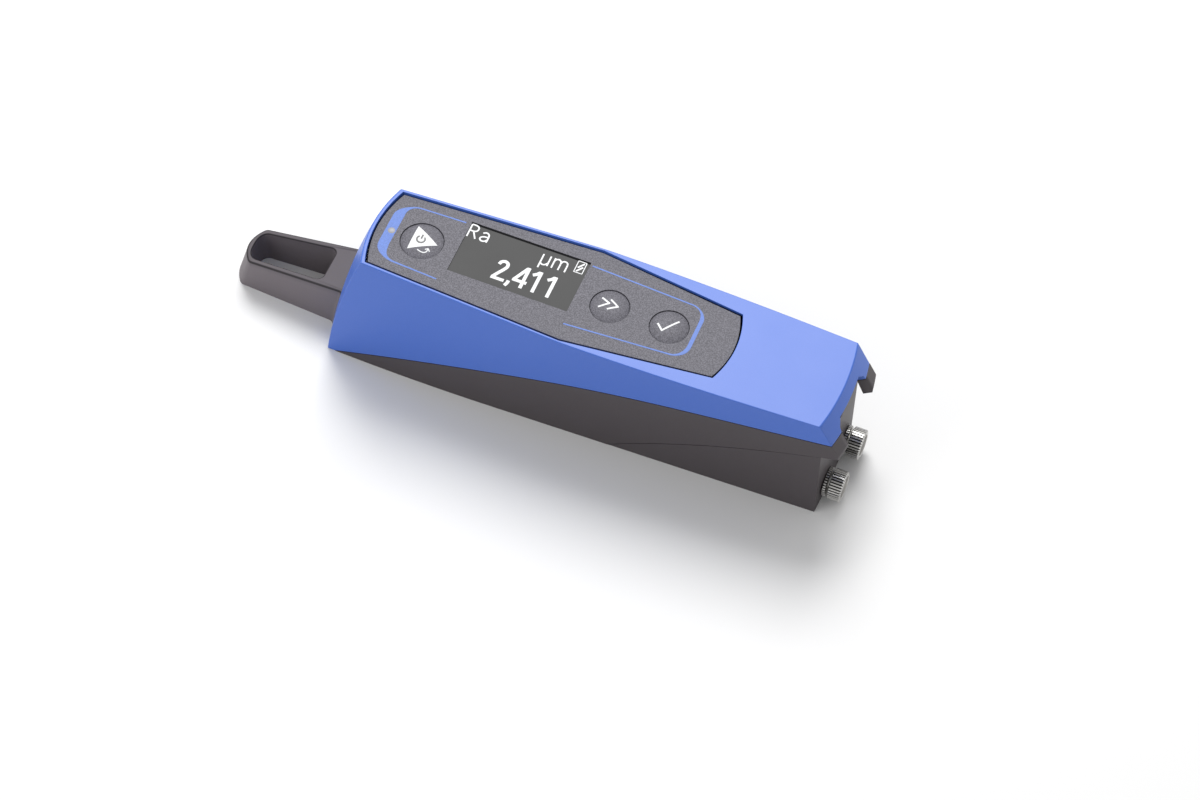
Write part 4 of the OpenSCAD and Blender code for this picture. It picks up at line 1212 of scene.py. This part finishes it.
def build_nose(sizes, housing):
    """Grey nose guard: a tapered block with a slot, and the pick-up's channel behind it."""
    form = NoseForm(sizes, housing)
    rows = 8
    span = form.root - form.corner
    fillet = [mix(*FILLET_PLACES, k) * MM / span for k in steps(24)]
    side = [0] + fillet + [mix(fillet[-1], SIDE_END, k) for k in steps(8)[1:]] + CORNER_PLACES
    end = [1 + END_STEP * k for k in range(5)]
    end += [mix(TIP_START, 3 - TIP_START, k) for k in steps(20)] + [3 - q for q in reversed(end)]
    places = side + end + [3 - k for k in reversed(side)]
    outline = [form.outer(q, 1).xy for q in places]
    slots = [form.slot(q) for q in places]
    sections = []
    for k, place in enumerate(places):
        top = form.outer(place, 1).z
        share = 1 - sizes.edge / top
        wall = [form.outer(place, share * j) for j in steps(rows)]
        core = form.core(place, outline[k], outward(outline, k))
        heights = (top, form.top(core.x), form.top(slots[k].x))
        sections.append(nose_section(
            wall, outward(outline, k), core, slots[k], outward(slots, k), heights, sizes.edge))
    corner_c = Vector((form.slot_rear - sizes.slot_corner, sizes.slot_w / 2 - sizes.slot_corner))
    arc = arc_path(corner_c, sizes.slot_corner, 90, 0, 6)[1:]
    arc += [Vector((p.x, -p.y)) for p in reversed(arc)]
    for k, p in enumerate(arc):
        centre = Vector((corner_c.x, math.copysign(corner_c.y, p.y)))
        across = 1 - 2 * (k + 1) / (len(arc) + 1)
        wall = [form.outer(3, j) * Vector((1, across, 1)) for j in steps(rows)]
        wall[-1].z -= sizes.edge
        core = wall[-1].xy - Vector((sizes.rim, 0))
        heights = (form.top(form.root), form.top(core.x), form.top(p.x))
        sections.append(nose_section(
            wall, Vector((1, 0)), core, p, (p - centre).normalized(), heights, sizes.edge))
    sections = [[placed(p) for p in section] for section in sections]
    # Painted shade up each section: none on the outer wall, painted dark reflection on the rounded edges of
    # the top and of the slot, painted shade on the top, none on the slot wall
    tones = [0] * rows + EDGE_PAINTED_SHADES + [TOP_PAINTED_SHADE] + EDGE_PAINTED_SHADES[::-1] + [0, 0]
    mesh = loft("nose_guard_skin", sections, {}, closed=True, tones=tones)
    piece = add_piece(mesh, "housing", "nose_grey", "nose_guard")
    axis_z = node_middle("stylus_pin").z
    rear = form.slot_rear + DISPLAY_X
    rod = [(0, 0), (sizes.channel_r, 0), (sizes.channel_r, 1), (0, 1)]
    channel = lathe("cutter", rod, Vector((0, 0)), 64)
    reach = form.root - form.slot_rear + 2 * CUT_MARGIN
    turn = Matrix.Translation((rear - CUT_MARGIN, 0, axis_z)) @ Matrix.Rotation(math.pi / 2, 4, "Y")
    channel.transform(turn @ Matrix.Diagonal((1, 1, reach, 1)))
    r, start, end = sizes.channel_r, rear - CUT_MARGIN, rear + GAP_LEN
    ring = [Vector(p) for p in ((start, -r), (end, -r), (end, r), (start, r))]
    gap = solid_plate("cutter", [ring], -CUT_MARGIN, axis_z)
    cut(piece, [channel, gap])
    smooth(piece.data, NOSE_CREASE)


# Points around each tooth of a wheel
PER_TOOTH = 8
# The thumb screws' shanks, the rings' play on them, and the gap between a ring and a head
SHANK_R = 1.5 * MM
BORE_PLAY = 0.05 * MM
HEAD_GAP = 0.4 * MM
# Chamfer of the dished end face, and the ring turned into it: depth and places in from the dish's wall
DISH_CHAMFER = 0.1 * MM
DISH_RING = 0.1 * MM
DISH_RING_PLACES = (0.5 * MM, 0.6 * MM, 0.75 * MM, 0.85 * MM)


def wheel(name, profile, sizes, y, z):
    """A straight-knurled wheel along X, from places, radii and knurl shares."""
    count = sizes.teeth * PER_TOOTH
    work = bmesh.new()
    groove = work.verts.layers.float.new("groove")
    rings = []
    for x, radius, knurl in profile:
        if radius < SAME:
            rings.append([work.verts.new((x, y, z))])
            continue
        ring = []
        for k in range(count):
            phase = (k % PER_TOOTH) / PER_TOOTH
            dip = max(0, 1 - abs(phase - 0.5) * 4) * knurl * sizes.tooth
            angle = 2 * math.pi * k / count
            r = radius - dip
            vert = work.verts.new((x, y + r * math.cos(angle), z + r * math.sin(angle)))
            # Share of the groove's depth, by which the metal paints shade into the knurl's grooves
            vert[groove] = dip / sizes.tooth
            ring.append(vert)
        rings.append(ring)
    revolve(work, rings)
    mesh = finished(work, name)
    smooth(mesh, WHEEL_CREASE)
    return mesh


def build_thumb_screws(sizes):
    """Knurled thumb screws and their lock rings."""
    ring_low, ring_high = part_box("lock_rings")
    c = sizes.chamfer
    for side in ("near", "far"):
        screw = "thumb_screw_" + side
        low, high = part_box(screw)
        middle = node_middle(screw)
        radius = (high.z - low.z) / 2
        head = ring_high.x + HEAD_GAP
        wall = radius - sizes.dish_rim
        dish = high.x - sizes.dish
        a, b, d, e = (wall - place for place in DISH_RING_PLACES)
        profile = [
            (low.x, 0, 0), (low.x, SHANK_R, 0), (head, SHANK_R, 0), (head, radius - 2 * c, 0),
            (head + c, radius, 1), (high.x - c, radius, 1), (high.x, radius - 2 * c, 0),
            (high.x, wall + DISH_CHAMFER, 0), (high.x - DISH_CHAMFER, wall, 0), (dish, wall, 0),
            (dish, a, 0), (dish - DISH_RING, b, 0), (dish - DISH_RING, d, 0), (dish, e, 0), (dish, 0, 0)]
        mesh = wheel(screw + "_turned", profile, sizes, middle.y, middle.z)
        add_piece(mesh, "thumb_" + side, "bright_metal", screw)
    joined = bmesh.new()
    c = sizes.chamfer / 2
    radius = (ring_high.z - ring_low.z) / 2
    bore = SHANK_R + BORE_PLAY
    profile = [
        (ring_low.x, bore, 0), (ring_low.x, radius - 2 * c, 0), (ring_low.x + c, radius, 1),
        (ring_high.x - c, radius, 1), (ring_high.x, radius - 2 * c, 0), (ring_high.x, bore, 0),
        (ring_low.x, bore, 0)]
    for side in (-1, 1):
        place = (ring_high.y - radius) * side
        mesh = wheel("lock_ring", profile, sizes, place, node_middle("lock_rings").z)
        joined.from_mesh(mesh)
        bpy.data.meshes.remove(mesh)
    bmesh.ops.remove_doubles(joined, verts=joined.verts, dist=SAME)
    mesh = finished(joined, "lock_rings_turned")
    smooth(mesh, WHEEL_CREASE)
    add_piece(mesh, "housing", "bright_metal", "lock_rings")


# Gap around the connector, and how far the bulkhead lies inside the cover, in wall thicknesses
SOCKET_GAP = 0.15 * MM
BULKHEAD_INSET = 2.4


def build_bulkhead(sizes):
    """Dark bulkhead behind the rear notch, with the connector's opening."""
    socket_low, socket_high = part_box("usb_socket")
    rear = socket_high.x
    front = rear - sizes.wall
    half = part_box("base_cover")[1].y - BULKHEAD_INSET * sizes.wall
    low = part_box("drive_frame")[0].z
    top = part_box("lower_shell")[1].z
    left, right = socket_low.y - SOCKET_GAP, socket_high.y + SOCKET_GAP
    sill = socket_low.z - SOCKET_GAP
    ring = [(-half, low), (half, low), (half, top), (right, top),
            (right, sill), (left, sill), (left, top), (-half, top)]
    mesh = solid_plate("bulkhead", [[Vector(p) for p in ring]], 0, 1)
    for v in mesh.vertices:
        v.co = (front if v.co.z < 0.5 else rear, v.co.x, v.co.y)
    add_piece(mesh, "housing", "recess_black")


# Shader node groups and materials

COLOUR, NUMBER = "NodeSocketColor", "NodeSocketFloat"
# Sockets of a Mix node that blends colours
MIX_A, MIX_B, MIX_RESULT = 6, 7, 2


def node(tree, kind, inputs=None, **settings):
    """Outputs of a new shader node, whose inputs are set to values or linked to other sockets."""
    made = tree.nodes.new("ShaderNode" + kind)
    for setting, value in settings.items():
        setattr(made, setting, value)
    for socket, value in (inputs or {}).items():
        if isinstance(value, bpy.types.NodeSocket):
            tree.links.new(value, made.inputs[socket])
        else:
            made.inputs[socket].default_value = value
    return made.outputs


def noise(tree, scale, detail, rough):
    """Noise in object coordinates."""
    place = node(tree, "TexCoord")["Object"]
    values = {"Vector": place, "Scale": scale, "Detail": detail, "Roughness": rough}
    return node(tree, "TexNoise", values)["Fac"]


def spread(tree, value, low, high, to_low, to_high):
    """Maps a value from one range to another."""
    ends = {"From Min": low, "From Max": high, "To Min": to_low, "To Max": to_high}
    return node(tree, "MapRange", {"Value": value, **ends})["Result"]


def scaled(tree, tint, amount):
    """A colour times a number."""
    return node(tree, "VectorMath", {0: tint, "Scale": amount}, operation="SCALE")["Vector"]


def blended(tree, share, a, b):
    """A colour between two others."""
    return node(tree, "Mix", {"Factor": share, MIX_A: a, MIX_B: b}, data_type="RGBA")[MIX_RESULT]


def shared_group(name, inputs, fill):
    """A node group, made once. Its fill takes the inputs and returns the outputs by name."""
    if name in bpy.data.node_groups:
        return bpy.data.node_groups[name]
    group = bpy.data.node_groups.new(name, "ShaderNodeTree")
    for socket, kind, value in inputs:
        group.interface.new_socket(socket, in_out="INPUT", socket_type=kind).default_value = value
    results = fill(group, group.nodes.new("NodeGroupInput").outputs)
    for socket in results:
        kind = COLOUR if socket == "Color" else NUMBER
        group.interface.new_socket(socket, in_out="OUTPUT", socket_type=kind)
    given = group.nodes.new("NodeGroupOutput").inputs
    for socket, value in results.items():
        group.links.new(value, given[socket])
    return group


def moulded_grain():
    """Group: fine moulded texture with soft, uneven gloss."""
    def fill(tree, taken):
        fine = noise(tree, taken["Grain"], 3.0, 0.6)
        shift = spread(tree, noise(tree, 60.0, 4.0, 0.6), 0.3, 0.7, -1.0, 1.0)
        gloss = {0: shift, 1: taken["Unevenness"], 2: taken["Roughness"]}
        return {
            "Color": scaled(tree, taken["Color"], spread(tree, fine, 0.25, 0.75, 0.94, 1.06)),
            "Roughness": node(tree, "Math", gloss, operation="MULTIPLY_ADD")["Value"],
            "Height": fine}

    return shared_group("moulded_grain", [
        ("Color", COLOUR, (0.5, 0.5, 0.5, 1)), ("Grain", NUMBER, 9000.0),
        ("Roughness", NUMBER, 0.45), ("Unevenness", NUMBER, 0.06)], fill)


def film_speckle():
    """Group: dark film with fine lighter and darker specks."""
    def fill(tree, taken):
        grain = noise(tree, taken["Size"], 4.0, 0.75)
        share = spread(tree, grain, 0.42, 0.6, 0.0, 1.0)
        return {"Color": blended(tree, share, taken["Color"], taken["Speck"]), "Height": grain}

    return shared_group("film_speckle", [
        ("Color", COLOUR, (0.2, 0.2, 0.2, 1)), ("Speck", COLOUR, (0.4, 0.4, 0.4, 1)),
        ("Size", NUMBER, 1500.0)], fill)


def turned_lines():
    """Group: fine turning and grinding lines on metal, with shade painted into its grooves."""
    def fill(tree, taken):
        place = node(tree, "TexCoord")["Object"]
        drawn = node(tree, "Mapping", {"Vector": place, "Scale": (9000, 400, 400)})["Vector"]
        lines = node(tree, "TexNoise", {"Vector": drawn, "Scale": 1.0, "Detail": 3.0})["Fac"]
        gloss = {0: spread(tree, lines, 0.3, 0.7, -0.06, 0.06), 1: taken["Roughness"]}
        tint = scaled(tree, taken["Color"], spread(tree, lines, 0.3, 0.7, 0.9, 1.05))
        return {
            "Color": blended(tree, taken["Groove"], tint, taken["Shade"]),
            "Roughness": node(tree, "Math", gloss, operation="ADD")["Value"],
            "Height": lines}

    return shared_group("turned_lines", [
        ("Color", COLOUR, (0.6, 0.6, 0.6, 1)), ("Roughness", NUMBER, 0.28),
        ("Shade", COLOUR, (0.01, 0.01, 0.01, 1)), ("Groove", NUMBER, 0.0)], fill)


def new_material(name):
    """A material, its node tree and its shader's inputs."""
    material = bpy.data.materials.new(name)
    material.use_nodes = True
    tree = material.node_tree
    return material, tree, tree.nodes["Principled BSDF"].inputs


def rgba(value):
    """A colour with full alpha."""
    return (*value, 1.0)


def dress(tree, shader, group, values, strength, depth):
    """Feeds a group's colour, height and any roughness into the shader."""
    made = node(tree, "Group", values, node_tree=group)
    tree.links.new(made["Color"], shader["Base Color"])
    if "Roughness" in made:
        tree.links.new(made["Roughness"], shader["Roughness"])
    relief = {"Strength": strength, "Distance": depth, "Height": made["Height"]}
    tree.links.new(node(tree, "Bump", relief)["Normal"], shader["Normal"])


def mask(tree, layer):
    """Values of a mesh layer."""
    return node(tree, "Attribute", attribute_name=layer)["Fac"]


def moulded(name, base, roughness, uneven, grain, depth, specular=0.5, painted_shade_colour=None):
    """Moulded plastic. Where a painted shade colour is given, the mesh's painted shade layer blends it in:
    a painted dark reflection on the nose's rounded edges and painted shade on its top.
    """
    material, tree, shader = new_material(name)
    tint = blended(tree, mask(tree, "tone"), rgba(base), rgba(painted_shade_colour)) if painted_shade_colour else rgba(base)
    shader["Specular IOR Level"].default_value = specular
    values = {"Color": tint, "Grain": grain, "Roughness": roughness, "Unevenness": uneven}
    dress(tree, shader, moulded_grain(), values, 0.25, depth * MM)
    return material


def film(name, base, speck, roughness):
    """Speckled film."""
    material, tree, shader = new_material(name)
    shader["Roughness"].default_value = roughness
    values = {"Color": rgba(base), "Speck": rgba(speck), "Size": 3400.0}
    dress(tree, shader, film_speckle(), values, 0.35, 0.02 * MM)
    return material


def metal(name, base, roughness, painted_shade_colour=None):
    """Turned or ground metal, with shade painted into its grooves where a painted shade colour is given."""
    material, tree, shader = new_material(name)
    shader["Metallic"].default_value = 1.0
    values = {"Color": rgba(base), "Roughness": roughness}
    if painted_shade_colour:
        # Painted shade in the knurl's grooves, blended in by the depth of the groove
        values["Shade"] = rgba(painted_shade_colour)
        values["Groove"] = spread(tree, mask(tree, "groove"), 0.0, 0.5, 0.0, 1.0)
    dress(tree, shader, turned_lines(), values, 0.15, 0.01 * MM)
    return material


# Colour, roughness, unevenness, grain, depth of the grain in millimetres, gloss and any painted shade
# colour (on the nose: painted dark reflection on its edges, painted shade on its top)
MOULDED = {
    "blue_shell": ("blue", 0.36, 0.012, 7000.0, 0.010, 0.38),
    "dark_shell": ("dark", 0.48, 0.04, 5200.0, 0.012, 0.45),
    "nose_grey": ("nose", 0.5, 0.05, 7000.0, 0.008, 0.2, "nose_edge"),
    "clear_window": ("screen", 0.5, 0.02, 4000.0, 0.002, 0.15),
    "lit_white": ("white", 0.5, 0.03, 6000.0, 0.004),
    "light_grey": ("light", 0.4, 0.03, 5000.0, 0.004),
    "board": ("board", 0.35, 0.05, 2500.0, 0.01),
    "recess_black": ("black", 0.85, 0.03, 5200.0, 0.02, 0.05),
    "display_black": ("black", 0.35, 0.05, 4000.0, 0.006),
    "inner_plastic": ("inner", 0.5, 0.05, 5000.0, 0.01),
}
# Colour, speck colour and roughness
FILMS = {
    "panel_film": ("panel", "speck", 0.6),
    "key_grey": ("panel", "speck", 0.6),
    "print_blue": ("print_blue", "print_speck", 0.5),
}
# Colour, roughness and any colour of the shade painted into the grooves
METALS = {
    "bright_metal": ("metal", 0.32, "black"),
    "steel": ("steel", 0.3),
    "brass": ("brass", 0.3),
    "aluminium": ("aluminium", 0.4),
}
# Glow of the lit display characters; the printed key symbols share it as painted light
GLOW = 0.06


def finish(slot):
    """Material of one finish, made once."""
    name = "tester_" + slot
    if name in bpy.data.materials:
        return bpy.data.materials[name]
    colours = bpy.context.scene.tester_finish
    kinds = ((moulded, MOULDED), (film, FILMS), (metal, METALS))
    make, table = next(kind for kind in kinds if slot in kind[1])
    values = [getattr(colours, v) if isinstance(v, str) else v for v in table[slot]]
    material = make(name, *values)
    if slot == "lit_white":
        shader = material.node_tree.nodes["Principled BSDF"].inputs
        shader["Emission Color"].default_value = rgba(colours.white)
        shader["Emission Strength"].default_value = GLOW
    return material


def dress_inner_works():
    """Finishes on the frame's own pieces that stay as they are."""
    for part in frame["record"]["subparts"]:
        piece = frame["nodes"][part["node"]]
        for holder in piece.material_slots:
            holder.material = finish(part["material_slot"])


# Stage

# The camera's axes
CAMERA_RIGHT = Vector((0.9253, 0.3784, 0.02504))
CAMERA_DOWN = Vector((0.32638, -0.76099, -0.56069))
CAMERA_AHEAD = Vector((-0.19311, 0.52698, -0.82765))
# Half the floor's side, the middle of what is lit, and the softboxes' places and sides, in metres
FLOOR_HALF = 4.0
LIT_MIDDLE = Vector((0, 0, 0.02))
OVERHEAD_PLACE, OVERHEAD_SIDE = Vector((-0.22, 0.61, 0.96)), 0.58
FRONT_PLACE, FRONT_SIDE = Vector((-0.42, -0.5, 0.32)), 0.45


def soft_light(name, place, side, brightness):
    """A square softbox that looks at the middle."""
    lamp = bpy.data.lights.new(name, "AREA")
    lamp.size = side
    lamp.energy = math.pi * side * side * brightness
    holder = bpy.data.objects.new(name, lamp)
    bpy.context.scene.collection.objects.link(holder)
    holder.location = place
    holder.rotation_euler = (LIT_MIDDLE - place).to_track_quat("-Z", "Y").to_euler()


def build_stage(settings, colours):
    """Pale floor, soft light and the camera."""
    scene = bpy.context.scene
    lens = bpy.data.cameras.new("camera")
    lens.lens = settings.lens
    lens.sensor_width = 36
    lens.clip_start = 0.01
    camera = bpy.data.objects.new("camera", lens)
    scene.collection.objects.link(camera)
    turn = Matrix((CAMERA_RIGHT, -CAMERA_DOWN, -CAMERA_AHEAD)).transposed().to_4x4()
    camera.matrix_world = Matrix.Translation(Vector(settings.camera) + Vector((DISPLAY_X, 0, 0))) @ turn
    scene.camera = camera
    half = FLOOR_HALF
    ground = bpy.data.meshes.new("floor")
    corners = [(-half, -half, 0), (half, -half, 0), (half, half, 0), (-half, half, 0)]
    ground.from_pydata(corners, [], [(0, 1, 2, 3)])
    floor = bpy.data.objects.new("floor", ground)
    scene.collection.objects.link(floor)
    ground.materials.append(moulded("floor", colours.floor, 0.7, 0.02, 9000.0, 0.002, 0.2))
    world = bpy.data.worlds.new("studio")
    scene.world = world
    world.use_nodes = True
    back = world.node_tree.nodes["Background"]
    back.inputs["Color"].default_value = (1, 1, 1, 1)
    back.inputs["Strength"].default_value = settings.ambient
    soft_light("overhead_softbox", OVERHEAD_PLACE, OVERHEAD_SIDE, settings.key_light)
    soft_light("front_softbox", FRONT_PLACE, FRONT_SIDE, settings.fill_light)
    scene.view_settings.view_transform = "Standard"


class PieceOperator:
    """What the operators below share."""

    bl_options = {"REGISTER", "UNDO"}

    def execute(self, context):
        self.build(context.scene)
        return {"FINISHED"}


class TESTER_OT_stage(PieceOperator, bpy.types.Operator):
    """Make the floor, the lights and the camera"""

    bl_idname = "tester.stage"
    bl_label = "Stage"

    def build(self, scene):
        build_stage(scene.tester_stage, scene.tester_finish)


class TESTER_OT_inner_works(PieceOperator, bpy.types.Operator):
    """Give the drive, the board and the other inner pieces their finishes"""

    bl_idname = "tester.inner_works"
    bl_label = "Inner works"

    def build(self, _scene):
        dress_inner_works()


class TESTER_OT_housing(PieceOperator, bpy.types.Operator):
    """Make the blue shell, the dark shell, the base cover and the bulkhead"""

    bl_idname = "tester.housing"
    bl_label = "Housing"

    def build(self, scene):
        form = HousingForm(scene.tester_housing)
        build_upper_shell(form, scene.tester_panel)
        build_lower_shell(form)
        build_base_cover(form)
        build_bulkhead(form.size)


class TESTER_OT_nose_guard(PieceOperator, bpy.types.Operator):
    """Make the slotted nose guard"""

    bl_idname = "tester.nose_guard"
    bl_label = "Nose guard"

    def build(self, scene):
        build_nose(scene.tester_nose, HousingForm(scene.tester_housing))


class TESTER_OT_panel(PieceOperator, bpy.types.Operator):
    """Make the control panel's film, window, painted shade strip and print"""

    bl_idname = "tester.panel"
    bl_label = "Control panel"

    def build(self, scene):
        build_panel(scene.tester_panel, scene.tester_housing)
        build_panel_print(scene.tester_panel)


class TESTER_OT_display(PieceOperator, bpy.types.Operator):
    """Make the characters on the display"""

    bl_idname = "tester.display"
    bl_label = "Display"

    def build(self, scene):
        build_display(scene.tester_panel)


class TESTER_OT_keys(PieceOperator, bpy.types.Operator):
    """Make the domed keys, their symbols and the status light"""

    bl_idname = "tester.keys"
    bl_label = "Keys"

    def build(self, scene):
        build_keys(scene.tester_panel)
        build_key_symbols(scene.tester_panel)


class TESTER_OT_thumb_screws(PieceOperator, bpy.types.Operator):
    """Make the knurled thumb screws and lock rings"""

    bl_idname = "tester.thumb_screws"
    bl_label = "Thumb screws"

    def build(self, scene):
        build_thumb_screws(scene.tester_wheel)


OPERATORS = (
    TESTER_OT_stage, TESTER_OT_inner_works, TESTER_OT_housing, TESTER_OT_nose_guard, TESTER_OT_panel,
    TESTER_OT_display, TESTER_OT_keys, TESTER_OT_thumb_screws)


class TESTER_PT_pieces(bpy.types.Panel):
    """Lists the operators in the sidebar"""

    bl_idname = "TESTER_PT_pieces"
    bl_label = "Surface roughness tester"
    bl_space_type = "VIEW_3D"
    bl_region_type = "UI"
    bl_category = "Tester"

    def draw(self, context):
        for operator in OPERATORS:
            self.layout.operator(operator.bl_idname)


GROUPS = {
    "tester_housing": HousingSizes, "tester_panel": PanelSizes, "tester_nose": NoseSizes,
    "tester_wheel": WheelSizes, "tester_finish": FinishColours, "tester_stage": StageSettings}


def register():
    for name, group in GROUPS.items():
        bpy.utils.register_class(group)
        setattr(bpy.types.Scene, name, bpy.props.PointerProperty(type=group))
    for operator in OPERATORS:
        bpy.utils.register_class(operator)
    bpy.utils.register_class(TESTER_PT_pieces)


def unregister():
    bpy.utils.unregister_class(TESTER_PT_pieces)
    for operator in reversed(OPERATORS):
        bpy.utils.unregister_class(operator)
    for name, group in GROUPS.items():
        delattr(bpy.types.Scene, name)
        bpy.utils.unregister_class(group)


def main():
    register()
    bpy.ops.tester.stage()
    bpy.ops.tester.inner_works()
    bpy.ops.tester.housing()
    bpy.ops.tester.nose_guard()
    bpy.ops.tester.panel()
    bpy.ops.tester.display()
    bpy.ops.tester.keys()
    bpy.ops.tester.thumb_screws()


if __name__ == "__main__":
    main()
